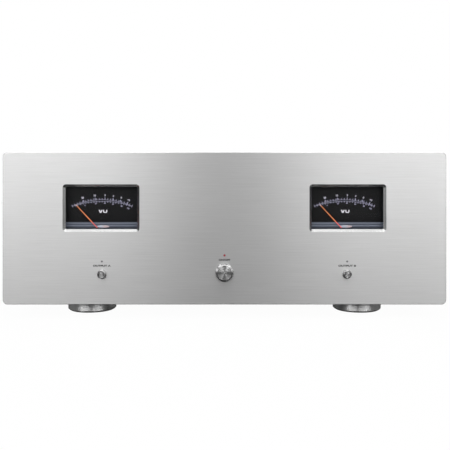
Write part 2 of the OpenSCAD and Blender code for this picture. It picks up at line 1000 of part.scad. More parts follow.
module speaker_switches() {
  color([0.15, 0.15, 0.15])
    for (side = [-1, 1])
      translate([side * speaker_x, 0, speaker_z])
        switch_body(speaker_switch_w, speaker_stem_r, speaker_travel);
}

// Light guides from the control board to the front face
module power_light() {
  color("darkred")
    translate([0, 0, power_light_z])
      rod(power_light_r, y_front - light_proud, control_d + light_proud);
}

module speaker_lights() {
  color("gray")
    for (side = [-1, 1])
      translate([side * speaker_x, 0, speaker_light_z])
        rod(speaker_light_r, y_front - light_proud, control_d + light_proud);
}

module control_board() {
  color("darkgreen")
    translate([0, 0, (control_top + control_low) / 2])
      block(control_w, board_t, control_top - control_low, y_front + control_d);
}

// The transformer's winding, with rounded shoulders
module transformer() {
  ring_w = (toroid_d - toroid_hole) / 2;
  color([0.75, 0.6, 0.15])
    translate([0, toroid_y, toroid_z + toroid_h / 2])
      rotate_extrude()
        translate([(toroid_d + toroid_hole) / 4, 0])
          round_rect(ring_w, toroid_h, toroid_round);
}

module transformer_pads() {
  color([0.1, 0.1, 0.1])
    for (z = [z_tray, toroid_z + toroid_h])
      translate([0, toroid_y, z])
        difference() {
          cylinder(d = toroid_d - toroid_round, h = cushion_t);
          translate([0, 0, -cut])
            cylinder(r = bolt_r + fit, h = cushion_t + 2 * cut);
        }
}

// The clamp: a plate on the upper pad, the bolt through the middle and a nut under the tray
module transformer_clamp() {
  color("gray")
    translate([0, toroid_y, 0]) {
      translate([0, 0, clamp_z])
        difference() {
          cylinder(r = (toroid_d - toroid_round) / 2.4, h = clamp_t);
          translate([0, 0, -cut])
            cylinder(r = bolt_r + fit, h = clamp_t + 2 * cut);
        }
      translate([0, 0, case_lift - nut_h])
        cylinder(r = bolt_r, h = clamp_z + clamp_t - case_lift + nut_h);
      translate([0, 0, clamp_z + clamp_t])
        cylinder(r = bolt_head_r, h = bolt_head_h, $fn = 6);
      translate([0, 0, case_lift - nut_h])
        difference() {
          cylinder(r = bolt_head_r, h = nut_h, $fn = 6);
          translate([0, 0, -cut])
            cylinder(r = bolt_r + screw_fit, h = nut_h + 2 * cut);
        }
    }
}

module supply_board() {
  color("darkgreen")
    translate([-supply_w / 2, supply_y, board_z])
      cube([supply_w, supply_l, board_t]);
}

module filter_capacitors() {
  sleeve_edge = 2;
  color([0.1, 0.12, 0.2])
    for (i = [0 : cap_count - 1])
      translate([(i - (cap_count - 1) / 2) * cap_pitch, supply_y + supply_l / 2, deck_z]) {
        cylinder(d = cap_d, h = cap_h - sleeve_edge);
        translate([0, 0, cap_h - sleeve_edge])
          cylinder(r1 = cap_d / 2, r2 = cap_d / 2 - sleeve_edge, h = sleeve_edge);
      }
}

module bridge_rectifiers() {
  color([0.15, 0.15, 0.15])
    for (x = [-1, 1])
      translate([x * rectifier_x - rectifier_w / 2, supply_y, z_tray])
        cube([rectifier_w, rectifier_w, rectifier_h]);
}

module amp_boards() {
  color("darkgreen")
    for (x = [-1, 1])
      translate([x * (inner_x - amp_off - board_t / 2), sink_mid_y, amp_z + amp_h / 2])
        cube([board_t, amp_l, amp_h], center = true);
}

// Output transistors flat on the heat sinks, with legs that reach their board
module output_transistors() {
  leg_l = amp_off - transistor_t;
  color([0.12, 0.12, 0.12])
    for (x = [-1, 1], i = [0.5 : transistor_count - 0.5])
      translate([x * inner_x, sink_mid_y + (i - transistor_count / 2) * transistor_pitch, transistor_z]) {
        translate([-x * transistor_t / 2, 0, 0])
          cube([transistor_t, transistor_w, transistor_h], center = true);
        for (leg = [-1, 0, 1])
          translate([-x * (transistor_t + leg_l / 2), leg * transistor_w / 4, -transistor_h / 2 + 2 * leg_w])
            cube([leg_l, leg_w, leg_w], center = true);
      }
}

module tube_board() {
  color("darkgreen")
    translate([-tube_w / 2, tube_y, board_z])
      cube([tube_w, tube_l, board_t]);
}

// Places of the tubes on their board
module at_tubes(z) {
  for (i = [0 : tube_count - 1])
    translate([(i - (tube_count - 1) / 2) * tube_pitch, tube_y + tube_l / 2, z])
      children();
}

module tube_sockets() {
  color("ivory")
    at_tubes(deck_z)
      cylinder(r = socket_r, h = socket_h);
}

// A tube's glass as a closed bulb with a domed top
module tube_bulb(r, h) {
  cylinder(r = r, h = h - r);
  translate([0, 0, h - r])
    sphere(r = r);
}

module tubes() {
  color([0.8, 0.85, 0.9, 0.4])
    at_tubes(deck_z + socket_h)
      difference() {
        tube_bulb(tube_r, tube_h);
        translate([0, 0, glass_wall])
          tube_bulb(tube_r - glass_wall, tube_h - 2 * glass_wall);
      }
}

module speaker_relays() {
  color([0.2, 0.22, 0.25])
    for (x = [-1, 1])
      translate([x * relay_x - relay_w / 2, tube_y + board_margin, deck_z])
        cube([relay_w, relay_l, relay_h]);
}

// Standoffs under the flat boards, behind the subpanel and on the heat sinks
module board_standoffs() {
  control_l = control_d - panel_t - sheet_t;
  edge = 2 * standoff_r;
  color("lightgray") {
    for (x = [-1, 1], y = [edge, supply_l - edge])
      translate([x * (supply_w / 2 - edge), supply_y + y, z_tray])
        cylinder(r = standoff_r, h = standoff_h);
    for (x = [-1, 1], y = [edge, tube_l - edge])
      translate([x * (tube_w / 2 - edge), tube_y + y, z_tray])
        cylinder(r = standoff_r, h = standoff_h);
    for (x = [-1, 1], z = [control_low + edge, control_low + 4 * edge])
      translate([x * meter_x / 2, 0, z])
        rod(standoff_r, y_in, control_l);
    for (x = [-1, 1], y = [-1, 1], z = [edge, amp_h - edge])
      translate([x * inner_x, sink_mid_y + y * (amp_l / 2 - edge), amp_z + z])
        rotate([0, -x * 90, 0])
          cylinder(r = standoff_r, h = amp_off);
  }
}

// Input sockets: a shell with its insulator behind it, through the rear panel
module input_sockets() {
  hole_r = 1.65;
  face_in = 1.5;
  color("gold")
    at_inputs()
      difference() {
        union() {
          rod(shell_r, y_rear + shell_flange_t, shell_l);
          rod(shell_flange_r, y_rear, shell_flange_t);
          rod(shell_bush_r, y_rear_in - shell_flange_t, sheet_t + shell_flange_t);
        }
        rod(shell_r - shell_wall, y_rear + shell_flange_t + shell_l - face_in, face_in + cut);
        rod(hole_r, y_rear + shell_flange_t, shell_l);
      }
}

// The mains inlet: a flange outside, a body inside, the well for a plug and the slot of the fuse drawer
module mains_inlet() {
  color([0.1, 0.1, 0.1])
    translate([0, 0, inlet_z])
      difference() {
        union() {
          slab(y_rear, inlet_flange_t)
            round_rect(inlet_flange_w, inlet_h, inlet_r);
          block(inlet_w, inlet_in + sheet_t, inlet_h, y_rear_in - inlet_in);
        }
        translate([0, 0, -well_down])
          block(well_w, well_l + cut, well_h, y_rear + inlet_flange_t - well_l);
        translate([0, 0, drawer_up])
          block(drawer_w + 2 * drawer_fit, drawer_l + cut, drawer_h + 2 * drawer_fit,
            y_rear + inlet_flange_t - drawer_l);
        for (x = [-1, 1])
          translate([x * inlet_screw_x, 0, 0])
            rod(screw_r + screw_fit, y_rear - cut, inlet_flange_t + 2 * cut);
      }
}

// The three blades in the inlet's well and their solder tabs behind it
module mains_pins() {
  well_floor = y_rear + inlet_flange_t - well_l;
  body_back = y_rear_in - inlet_in;
  color("gainsboro")
    for (pin = [[-blade_x, -blade_up], [0, blade_up], [blade_x, -blade_up]])
      translate([pin[0], 0, inlet_z - well_down + pin[1]]) {
        block(blade_t, blade_l, blade_w, well_floor);
        block(blade_t, tab_l, blade_w, body_back - tab_l);
      }
}

module fuse_drawer() {
  color([0.14, 0.14, 0.14])
    translate([0, 0, inlet_z + drawer_up]) {
      block(drawer_w, drawer_l - fit, drawer_h, y_rear + inlet_flange_t - drawer_l + fit);
      block(drawer_w, drawer_lip + cut, drawer_h, y_rear + inlet_flange_t - cut);
    }
}

// Studs with their plug hole, a collar outside and a nut inside
module terminal_posts() {
  stud_start = y_rear_in - stud_in;
  color("gold")
    at_terminals() {
      difference() {
        union() {
          rod(stud_r, stud_start, stud_end - stud_start);
          rod(collar_r, y_rear + base_t, collar_t);
        }
        rod(plug_r, stud_end - plug_l, plug_l + cut);
      }
      difference() {
        rod(stud_nut_r, y_rear_in - stud_nut_l - cut, stud_nut_l, $fn = 6);
        rod(stud_r + screw_fit, y_rear_in - stud_nut_l - 2 * cut, stud_nut_l + 2 * cut);
      }
    }
}

// Insulating bases under the terminal pairs, with necks through the rear panel
module terminal_bases() {
  color([0.1, 0.1, 0.1])
    for (side = [-1, 1], pair = [0, 1])
      difference() {
        union() {
          translate([side * (term_x + pair * pair_pitch + term_pitch / 2), 0, term_z])
            slab(y_rear, base_t)
              round_rect(term_pitch + base_h, base_h, base_rim);
          for (pole = [0, 1])
            at_terminal(side, pair, pole)
              rod(base_neck_r, y_rear_in - cut, sheet_t + 2 * cut);
        }
        for (pole = [0, 1])
          at_terminal(side, pair, pole)
            rod(stud_r + screw_fit, y_rear_in - 2 * cut, sheet_t + base_t + 3 * cut);
      }
}

// A screw cap with finger flutes, tightened to its collar
module terminal_cap(side, pair, pole) {
  rim = 3;
  at_terminal(side, pair, pole)
    difference() {
      rod(cap_r, cap_y, cap_l);
      rod(stud_r + run_fit, cap_y - cut, cap_l + 2 * cut);
      for (i = [0 : flute_count - 1])
        rotate([0, (i + 0.5) * 360 / flute_count, 0])
          translate([cap_r, 0, 0])
            rod(flute_r, cap_y + rim, cap_l - rim + cut);
    }
}

module cap_left_a_plus() {
  color("firebrick")
    terminal_cap(-1, 0, 0);
}

module cap_left_a_minus() {
  color([0.12, 0.12, 0.12])
    terminal_cap(-1, 0, 1);
}

module cap_left_b_plus() {
  color("firebrick")
    terminal_cap(-1, 1, 0);
}

module cap_left_b_minus() {
  color([0.12, 0.12, 0.12])
    terminal_cap(-1, 1, 1);
}

module cap_right_a_plus() {
  color("firebrick")
    terminal_cap(1, 0, 0);
}

module cap_right_a_minus() {
  color([0.12, 0.12, 0.12])
    terminal_cap(1, 0, 1);
}

module cap_right_b_plus() {
  color("firebrick")
    terminal_cap(1, 1, 0);
}

module cap_right_b_minus() {
  color([0.12, 0.12, 0.12])
    terminal_cap(1, 1, 1);
}

front_panel();
front_subpanel();
chassis_tray();
rear_panel();
top_cover();
heatsink_left();
heatsink_right();
feet();
foot_pads();
chassis_screws();
cover_screws();
fascia_screws();
meter_case_left();
meter_case_right();
meter_glass_left();
meter_glass_right();
meter_dial_left();
meter_dial_right();
meter_aprons();
meter_needle_left();
meter_needle_right();
meter_coil_left();
meter_coil_right();
meter_magnet_left();
meter_magnet_right();
power_button();
speaker_a_button();
speaker_b_button();
power_switch();
speaker_switches();
power_light();
speaker_lights();
control_board();
transformer();
transformer_pads();
transformer_clamp();
supply_board();
filter_capacitors();
bridge_rectifiers();
amp_boards();
output_transistors();
tube_board();
tube_sockets();
tubes();
speaker_relays();
board_standoffs();
input_sockets();
mains_inlet();
mains_pins();
fuse_drawer();
terminal_posts();
terminal_bases();
cap_left_a_plus();
cap_left_a_minus();
cap_left_b_plus();
cap_left_b_minus();
cap_right_a_plus();
cap_right_a_minus();
cap_right_b_plus();
cap_right_b_minus();
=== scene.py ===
"""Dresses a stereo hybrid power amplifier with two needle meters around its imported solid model."""

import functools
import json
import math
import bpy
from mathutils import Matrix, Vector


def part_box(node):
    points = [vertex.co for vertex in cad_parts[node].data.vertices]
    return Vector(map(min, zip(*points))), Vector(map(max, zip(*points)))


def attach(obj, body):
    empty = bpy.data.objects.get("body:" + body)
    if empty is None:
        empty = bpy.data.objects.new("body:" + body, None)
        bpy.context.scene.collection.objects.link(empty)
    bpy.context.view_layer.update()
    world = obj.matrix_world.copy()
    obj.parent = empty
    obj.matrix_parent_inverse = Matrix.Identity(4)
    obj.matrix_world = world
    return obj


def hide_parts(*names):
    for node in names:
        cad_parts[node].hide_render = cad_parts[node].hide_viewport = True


bl_info = {
    "name": "Hybrid power amplifier",
    "version": (1, 0, 0),
    "blender": (4, 5, 0),
    "location": "3D View > Sidebar > Amplifier",
    "description": "Finishes, prints and trim of a stereo power amplifier with two needle meters",
    "category": "Object",
}

import bmesh
import bpy
from bpy.props import FloatProperty, FloatVectorProperty, IntProperty, PointerProperty
from mathutils import Matrix, Vector

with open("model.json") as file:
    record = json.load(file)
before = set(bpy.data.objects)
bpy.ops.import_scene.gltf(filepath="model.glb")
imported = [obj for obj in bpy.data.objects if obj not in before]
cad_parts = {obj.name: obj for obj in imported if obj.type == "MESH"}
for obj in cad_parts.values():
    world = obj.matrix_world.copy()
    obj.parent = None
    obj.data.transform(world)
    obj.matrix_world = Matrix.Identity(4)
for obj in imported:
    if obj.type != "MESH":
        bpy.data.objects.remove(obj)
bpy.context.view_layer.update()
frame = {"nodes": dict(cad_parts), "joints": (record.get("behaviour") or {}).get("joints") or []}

MM = 0.001
CHASSIS = "chassis"
SIDES = ("left", "right")
JOINTS = {joint["name"]: joint for joint in frame["joints"]}
PANEL_LOW, PANEL_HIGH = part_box("front_panel")
FRONT = PANEL_LOW.y
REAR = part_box("rear_panel")[1].y
TURNED_MAP = "turned"
# Points closer than this are merged
MERGE = 0.001 * MM


def linear(code):
    """Linear red, green and blue of an sRGB hex colour."""
    channels = [int(code[i : i + 2], 16) / 255 for i in (1, 3, 5)]
    return tuple(c / 12.92 if c <= 0.04045 else ((c + 0.055) / 1.055) ** 2.4 for c in channels)


def per_mm(*sizes):
    """How often a pattern of these sizes, in millimetres, repeats in one metre."""
    return tuple(1 / (size * MM) for size in sizes)


def middle(node):
    """Centre of a CAD node's box."""
    low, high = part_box(node)
    return (low + high) / 2


def length(name, description, millimetres):
    """A size that the panel shows, with its default in millimetres."""
    return FloatProperty(
        name=name, description=description, default=millimetres * MM, min=0, unit="LENGTH", precision=5
    )


def tint(name, description, code):
    """A colour that the panel shows, with its default as sRGB hex."""
    return FloatVectorProperty(
        name=name, description=description, default=linear(code), size=3, min=0, max=1, subtype="COLOR"
    )


class AmplifierSizes(bpy.types.PropertyGroup):
    """Sizes of the trim, the print and the camera's view."""

    edge_ease: length("Edge ease", "Rounding of sheet and moulding edges", 0.35)
    button_bevel: length("Power bevel", "Bevel round the power button's face", 1.2)
    button_groove: length("Power groove", "Depth of the line turned round the power button", 0.2)
    button_crown: length("Button crown", "How far the power button's face falls off to its rim", 0.2)
    small_bevel: length("Speaker bevel", "Bevel round a speaker button's face", 0.6)
    small_groove: length("Speaker groove", "Width of the groove round a speaker button's face", 1.0)
    small_sunk: length("Speaker groove depth", "Depth of the groove round a speaker button's face", 2.5)
    scale_radius: length("Scale radius", "Radius of the upper line on a dial", 70)
    scale_half: FloatProperty(
        name="Scale angle", description="Half of the angle that a dial's line covers",
        default=math.radians(24.7), subtype="ANGLE",
    )
    scale_line: length("Scale line", "Width of the lines on a dial", 0.26)
    scale_band: length("Scale band", "Distance between a dial's two lines at the top", 1.5)
    tick_width: length("Tick width", "Width of a dial's ticks", 0.5)
    outer_tick: length("Outer tick", "Height of the ticks above a dial's upper line", 1.6)
    inner_tick: length("Inner tick", "Height of the ticks under a dial's lower line", 1.1)
    number_tick: length("Number tick", "Height of the ticks at a dial's numbers", 2.3)
    outer_ticks: IntProperty(
        name="Outer ticks", description="Ticks above a dial's upper line", default=23, min=2
    )
    inner_ticks: IntProperty(
        name="Inner ticks", description="Ticks under a dial's lower line", default=23, min=2
    )
    number_height: length("Numbers", "Height of a dial's upper numbers", 1.9)
    small_number: length("Small numbers", "Height of a dial's lower numbers", 1.4)
    unit_height: length("Unit", "Height of the unit's letters on a dial", 2.9)
    unit_width: length("Unit width", "Width of the unit's letters on a dial", 8.5)
    label_height: length("Labels", "Height of the small print on the front", 1.9)
    rear_height: length("Rear labels", "Height of the small print at the rear", 3.0)
    ink_depth: length("Ink", "Thickness of printed ink", 0.06)
    fin_tip: length("Fin tip", "Thickness of a fin at its tip", 1.4)
    camera_distance: length("Camera distance", "From the camera to the front panel", 600)
    camera_height: length("Camera height", "Height of the camera above the floor", 122)
    camera_side: length("Camera side", "How far the camera stands to the right of the middle", 0.5)
    view_width: length("View width", "Width that the picture takes in at the front panel", 436.2)
    view_middle: length("View middle", "Height at the front panel that the picture's middle shows", 89.6)


class AmplifierColours(bpy.types.PropertyGroup):
    """Colours of the finishes."""

    fascia: tint("Fascia", "Brushed, clear anodised aluminium", "#c7c7c7")
    button: tint("Buttons", "Turned aluminium", "#c2c2c2")
    foot: tint("Feet", "Turned and polished aluminium", "#e6e6e6")
    coat: tint("Case", "Black powder coat", "#1b1c1e")
    anodised: tint("Heat sinks", "Black anodised aluminium", "#292a2e")
    rubber: tint("Rubber", "Foot pads", "#141414")
    dial: tint("Dial", "Satin black dial plate", "#08080a")
    ink: tint("Ink", "Lines and small numbers on the dials", "#a9a7c2")
    number_ink: tint("Number ink", "Upper numbers on the dials", "#cfccdd")
    unit_ink: tint("Unit ink", "Bold letters on the dials", "#e9e7ef")
    label_ink: tint("Label ink", "Small print on the front", "#242426")
    rear_ink: tint("Rear ink", "Small print at the rear", "#c8c8c4")
    slate: tint("Strip", "Slate strip along a dial's lower edge", "#717887")
    needle_root: tint("Needle root", "Needle where it crosses the strip", "#ff6a68")
    needle: tint("Needle", "Needle over the dial", "#f68f4f")
    needle_tip: tint("Needle tip", "Tip of the needle", "#ffdcd4")
    # The pivot covers' pale cool colour and warm right end are a painted reflection of the lights and the
    # orange needle.
    pearl: tint("Pivot cover", "Pearl lacquer on the pivot covers", "#bcc2d2")
    pivot_reflection_warm: tint("Cover blush", "Warm end of the pivot covers", "#cdb8bc")
    lamp_red: tint("Power light", "Red lens, unlit", "#96323c")
    lamp_grey: tint("Speaker light", "Smoked lens, unlit", "#6c6c70")
    moulding: tint("Mouldings", "Black moulded plastic", "#161618")
    cap_red: tint("Plus caps", "Red terminal caps", "#a5191f")
    gold: tint("Gold", "Gold plating", "#e6bd62")
    nickel: tint("Nickel", "Nickel plating", "#c9c5bb")
    zinc: tint("Screws", "Zinc plated steel", "#a9abae")
    copper: tint("Copper", "Enamelled copper wire", "#b0603a")
    board: tint("Boards", "Solder mask on a circuit board", "#1d4a33")
    tape: tint("Winding tape", "Polyester tape on the transformer", "#b5902a")
    sleeve: tint("Capacitors", "Sleeve of a filter capacitor", "#1d2233")
    ceramic: tint("Tube sockets", "Glazed ceramic", "#e8e3d4")
    brass: tint("Standoffs", "Brass", "#c09a55")
    magnet: tint("Magnets", "Bare magnet steel", "#77797d")


def sizes():
    """The sizes in the scene's panel."""
    return bpy.context.scene.amplifier_sizes


def colours():
    """The colours in the scene's panel."""
    return bpy.context.scene.amplifier_colours


def add(tree, kind, feeds=None, ramp=None, **settings):
    """Adds a node with its settings, its colour ramp and its inputs: each a value or another output."""
    node = tree.nodes.new(kind)
    for name, value in settings.items():
        setattr(node, name, value)
    if ramp:
        elements = node.color_ramp.elements
        while len(elements) < len(ramp):
            elements.new(1.0)
        for element, (position, colour) in zip(elements, ramp):
            element.position = position
            element.color = (*colour, 1.0)
    for key, source in (feeds or {}).items():
        if isinstance(source, bpy.types.NodeSocket):
            tree.links.new(source, node.inputs[key])
        else:
            node.inputs[key].default_value = source
    return node


def new_material(name):
    """A material with an empty tree of nodes: gives both."""
    material = bpy.data.materials.new(name)
    material.use_nodes = True
    material.node_tree.nodes.clear()
    return material, material.node_tree


def new_finish(name, settings=None):
    """A material with one shader: gives the material, its tree, the shader and the texture coordinates."""
    material, tree = new_material(name)
    shader = add(tree, "ShaderNodeBsdfPrincipled", settings)
    add(tree, "ShaderNodeOutputMaterial", {"Surface": shader.outputs["BSDF"]})
    places = add(tree, "ShaderNodeTexCoord").outputs
    return material, tree, shader, places


def tones_of(colour, *stops):
    """Stops of a colour ramp: each a place on it and a share of the colour's brightness."""
    return [(place, [min(1.0, channel * share) for channel in colour]) for place, share in stops]


def vary(tree, shader, pattern, tones=None, rough=None, relief=None):
    """Lets a pattern vary a shader: its colour by a ramp, its roughness and its relief, in mm."""
    if tones:
        ramp = add(tree, "ShaderNodeValToRGB", {"Fac": pattern}, ramp=tones)
        tree.links.new(ramp.outputs["Color"], shader.inputs["Base Color"])
    if rough:
        low, high = rough
        polish = add(tree, "ShaderNodeMapRange", {"Value": pattern, "To Min": low, "To Max": high})
        tree.links.new(polish.outputs[0], shader.inputs["Roughness"])
    if relief:
        strength, depth = relief
        bump = add(tree, "ShaderNodeBump", {
            "Height": pattern, "Strength": strength, "Distance": depth * MM,
        })
        tree.links.new(bump.outputs[0], shader.inputs["Normal"])


def mottle(tree, shader, places, size, detail=2.0, **varied):
    """Lets soft spots of a size in mm vary a shader, and the object carries them along."""
    spots = add(tree, "ShaderNodeTexNoise", {
        "Vector": places["Object"], "Scale": 1 / (size * MM), "Detail": detail,
    })
    vary(tree, shader, spots.outputs["Fac"], **varied)


@functools.cache
def brushed_anodised_aluminium():
    """Aluminium brushed along X and clear anodised: level lines, and highlights drawn out upright."""
    material, tree, shader, places = new_finish("brushed_anodised_aluminium", {
        "Metallic": 1.0, "Anisotropic": 0.7, "Anisotropic Rotation": 0.25,
    })
    # Real brush lines are under 0.1 mm apart. They are drawn at 0.8 mm, so that they show.
    spread = add(tree, "ShaderNodeMapping", {"Vector": places["Object"], "Scale": per_mm(50, 5, 0.8)})
    lines = add(tree, "ShaderNodeTexNoise", {
        "Vector": spread.outputs[0], "Scale": 1.0, "Detail": 6.0, "Roughness": 0.65,
    }).outputs["Fac"]
    vary(tree, shader, lines, tones=tones_of(colours().fascia, (0.3, 0.93), (0.7, 1.05)))
    # The bevels were cut after brushing, so they are smoother than the flat faces.
    normal = add(tree, "ShaderNodeSeparateXYZ", {"Vector": places["Normal"]})
    flat = add(tree, "ShaderNodeMath", {0: normal.outputs["Y"], 1: -0.95}, operation="LESS_THAN")
    polish = add(tree, "ShaderNodeMapRange", {"Value": flat.outputs[0], "To Min": 0.25, "To Max": 0.45})
    uneven = add(tree, "ShaderNodeMapRange", {"Value": lines, "To Min": 0.92, "To Max": 1.08})
    rough = add(tree, "ShaderNodeMath", {0: polish.outputs[0], 1: uneven.outputs[0]}, operation="MULTIPLY")
    tree.links.new(rough.outputs[0], shader.inputs["Roughness"])
    grain = add(tree, "ShaderNodeTangent", direction_type="RADIAL", axis="Z")
    tree.links.new(grain.outputs[0], shader.inputs["Tangent"])
    return material


# Metal from the lathe: colour, anisotropy, lines round and along the turned map, lightest share, roughness
LATHED = {
    "turned_aluminium": ("button", 0.85, (2.0, 4.0, 1.0), 1.05, (0.26, 0.38)),
    "polished_foot_aluminium": ("foot", 0.75, (1.0, 3.0, 1.0), 1.04, (0.34, 0.4)),
}


@functools.cache
def lathed(name):
    """Aluminium from the lathe: rings round the axis, and highlights that fan out across them."""
    colour, drawn_out, spread, lightest, rough = LATHED[name]
    material, tree, shader, places = new_finish(name, {
        "Metallic": 1.0, "Anisotropic": drawn_out, "Anisotropic Rotation": 0.25,
    })
    # The turned map runs round the axis in U and along the profile in V, a millimetre to the unit.
    rings = add(tree, "ShaderNodeMapping", {"Vector": places["UV"], "Scale": spread})
    lines = add(tree, "ShaderNodeTexNoise", {"Vector": rings.outputs[0], "Scale": 1.0, "Detail": 3.0})
    vary(
        tree, shader, lines.outputs["Fac"],
        tones=tones_of(getattr(colours(), colour), (0.3, 0.9), (0.7, lightest)), rough=rough,
    )
    grain = add(tree, "ShaderNodeTangent", direction_type="UV_MAP", uv_map=TURNED_MAP)
    tree.links.new(grain.outputs[0], shader.inputs["Tangent"])
    return material


@functools.cache
def black_powder_coat():
    """Steel with a baked black powder coat: a fine pebbled skin with a dull sheen."""
    material, tree, shader, places = new_finish("black_powder_coat", {"IOR": 1.5})
    # Pebbles are about 0.4 mm, with slow waves of 30 mm in the sheen.
    tones = tones_of(colours().coat, (0.35, 0.75), (0.65, 1.3))
    mottle(tree, shader, places, 0.4, tones=tones, relief=(0.5, 0.06))
    mottle(tree, shader, places, 30, detail=3.0, rough=(0.48, 0.6))
    return material


@functools.cache
def black_anodised_extrusion():
    """Extruded aluminium, black anodised: upright die lines and a satin metal sheen."""
    material, tree, shader, places = new_finish("black_anodised_extrusion", {"Metallic": 0.5})
    # Die lines run upright, about 0.8 mm apart.
    drawn = add(tree, "ShaderNodeMapping", {"Vector": places["Object"], "Scale": per_mm(0.8, 0.8, 150)})
    lines = add(tree, "ShaderNodeTexNoise", {"Vector": drawn.outputs[0], "Scale": 1.0, "Detail": 3.0})
    vary(
        tree, shader, lines.outputs["Fac"],
        tones=tones_of(colours().anodised, (0.3, 0.8), (0.7, 1.5)), rough=(0.34, 0.46), relief=(0.3, 0.04),
    )
    return material


@functools.cache
def satin_black_dial():
    """Dial plate sprayed satin black: an even, very dark face with a faint speckle of about 0.6 mm."""
    material, tree, shader, places = new_finish("satin_black_dial", {"Specular IOR Level": 0.2})
    tones = tones_of(colours().dial, (0.35, 0.8), (0.65, 1.2))
    mottle(tree, shader, places, 0.6, tones=tones, rough=(0.55, 0.7))
    return material


@functools.cache
def printed_ink(name):
    """Screen-printed ink: a flat colour whose cover is slightly uneven, over about 0.8 mm."""
    material, tree, shader, places = new_finish(f"printed_{name}")
    tones = tones_of(getattr(colours(), name), (0.3, 0.85), (0.7, 1.08))
    mottle(tree, shader, places, 0.8, tones=tones, rough=(0.45, 0.6))
    return material


# Painted shade on a dial's strip from its top down, dark at its edges and in the valley between its ribs:
# share of its height and share of its colour
STRIP_PAINTED_SHADE = (
    (0.06, 0.35), (0.15, 1.0), (0.27, 1.0), (0.33, 0.5),
    (0.42, 1.0), (0.53, 1.05), (0.62, 0.7), (0.75, 0.4),
)
# How far the drawn lines shift this painted shade, as a share of the strip's height
STRIP_UNEVEN = 0.04


@functools.cache
def slate_anodised_strip():
    """Ribbed aluminium strip, slate anodised: two dull blue-grey ribs, with painted shade in the valley
    between them and along its top and bottom edges.
    """
    material, tree, shader, places = new_finish("slate_anodised_strip", {"Metallic": 0.2})
    # Drawn lines run along X, about 0.5 mm apart.
    drawn = add(tree, "ShaderNodeMapping", {"Vector": places["Object"], "Scale": per_mm(40, 1, 0.5)})
    lines = add(tree, "ShaderNodeTexNoise", {
        "Vector": drawn.outputs[0], "Scale": 1.0, "Detail": 3.0,
    }).outputs["Fac"]
    low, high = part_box("meter_aprons")
    height = add(tree, "ShaderNodeSeparateXYZ", {"Vector": places["Object"]}).outputs["Z"]
    drop = add(tree, "ShaderNodeMapRange", {"Value": height, "From Min": high.z, "From Max": low.z})
    # Height down the strip, shifted a little by the lines, picks the painted shade of its valleys and
    # edges.
    uneven = add(
        tree, "ShaderNodeMath", {0: lines, 1: STRIP_UNEVEN, 2: drop.outputs[0]}, operation="MULTIPLY_ADD"
    )
    vary(tree, shader, uneven.outputs[0], tones=tones_of(colours().slate, *STRIP_PAINTED_SHADE))
    vary(tree, shader, lines, rough=(0.4, 0.55))
    return material


# From the glass's top edge down to the window's centre, and how far the print stands to the right, in mm
WINDOW_DROP = 24
PRINT_SHIFT = {"left": 0.0, "right": -1.0}
# Pivot cover on a strip: width, height and thickness, and its middle from the window's centre, in mm
COVER_WIDTH = 12.0
COVER_HEIGHT = 2.6
COVER_DEPTH = 0.45
COVER_PLACE = (0.6, -18.4)
# Steps round and along its dome
COVER_STEPS = (40, 20)


def window_centre(side):
    """Centre of a meter's window on the panel's face, from the edges of its glass."""
    low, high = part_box(f"meter_glass_{side}")
    return Vector(((low.x + high.x) / 2, FRONT, high.z - WINDOW_DROP * MM))


@functools.cache
def pivot_painted_reflection(side):
    """Pivot cover with a painted reflection: a pale cool grey that turns a little warm to the right,
    standing for the lights and the orange needle mirrored in it.
    """
    material, tree, shader, places = new_finish(f"pearl_lacquer_{side}", {"Coat Weight": 0.3})
    left = window_centre(side).x - COVER_WIDTH / 2 * MM
    across = add(tree, "ShaderNodeSeparateXYZ", {"Vector": places["Object"]}).outputs["X"]
    share = add(tree, "ShaderNodeMapRange", {
        "Value": across, "From Min": left, "From Max": left + COVER_WIDTH * MM,
    })
    paint = colours()
    # Painted reflection: cool on the left, warm to the right.
    vary(tree, shader, share.outputs[0], tones=((0.35, paint.pearl), (0.7, paint.pivot_reflection_warm)))
    # Its roughness varies in spots of about 0.3 mm.
    mottle(tree, shader, places, 0.3, rough=(0.3, 0.45))
    return material


# From a needle's pivot to the end of its black hub in mm, which is painted shade where the needle goes
# under the strip's edge, and the share of its reach over which that ends
SHADED_HUB_REACH = 7.6
SHADED_HUB_BLEND = 0.02
# A needle's colours past its hub: share of its reach and colour
NEEDLE_TONES = ((0.36, "needle_root"), (0.48, "needle"), (0.94, "needle"), (0.99, "needle_tip"))


@functools.cache
def needle_lacquer(side):
    """Needle in orange lacquer: a black hub that is painted shade where it goes under the strip, red over
    the strip, orange over the dial and a pale tip.
    """
    material, tree, shader, places = new_finish(f"needle_lacquer_{side}", {"Roughness": 0.45})
    needle = f"meter_needle_{side}"
    pivot = Vector(JOINTS[f"{side}_needle_swing"]["pos_m"])
    pivot.y = middle(needle).y
    points = [vert.co for vert in frame["nodes"][needle].data.vertices]
    tip = max(math.hypot(point.x - pivot.x, point.z - pivot.z) for point in points)
    reach = add(tree, "ShaderNodeVectorMath", {0: places["Object"], 1: pivot}, operation="DISTANCE")
    along = add(tree, "ShaderNodeMapRange", {"Value": reach.outputs["Value"], "From Max": tip})
    paint = colours()
    # Black near the pivot: painted shade where the needle goes under the strip's edge.
    hub = SHADED_HUB_REACH * MM / tip
    tones = [(hub, paint.dial), (hub + SHADED_HUB_BLEND, paint.needle_root)]
    tones += [(place, getattr(paint, name)) for place, name in NEEDLE_TONES]
    vary(tree, shader, along.outputs[0], tones=tones)
    return material


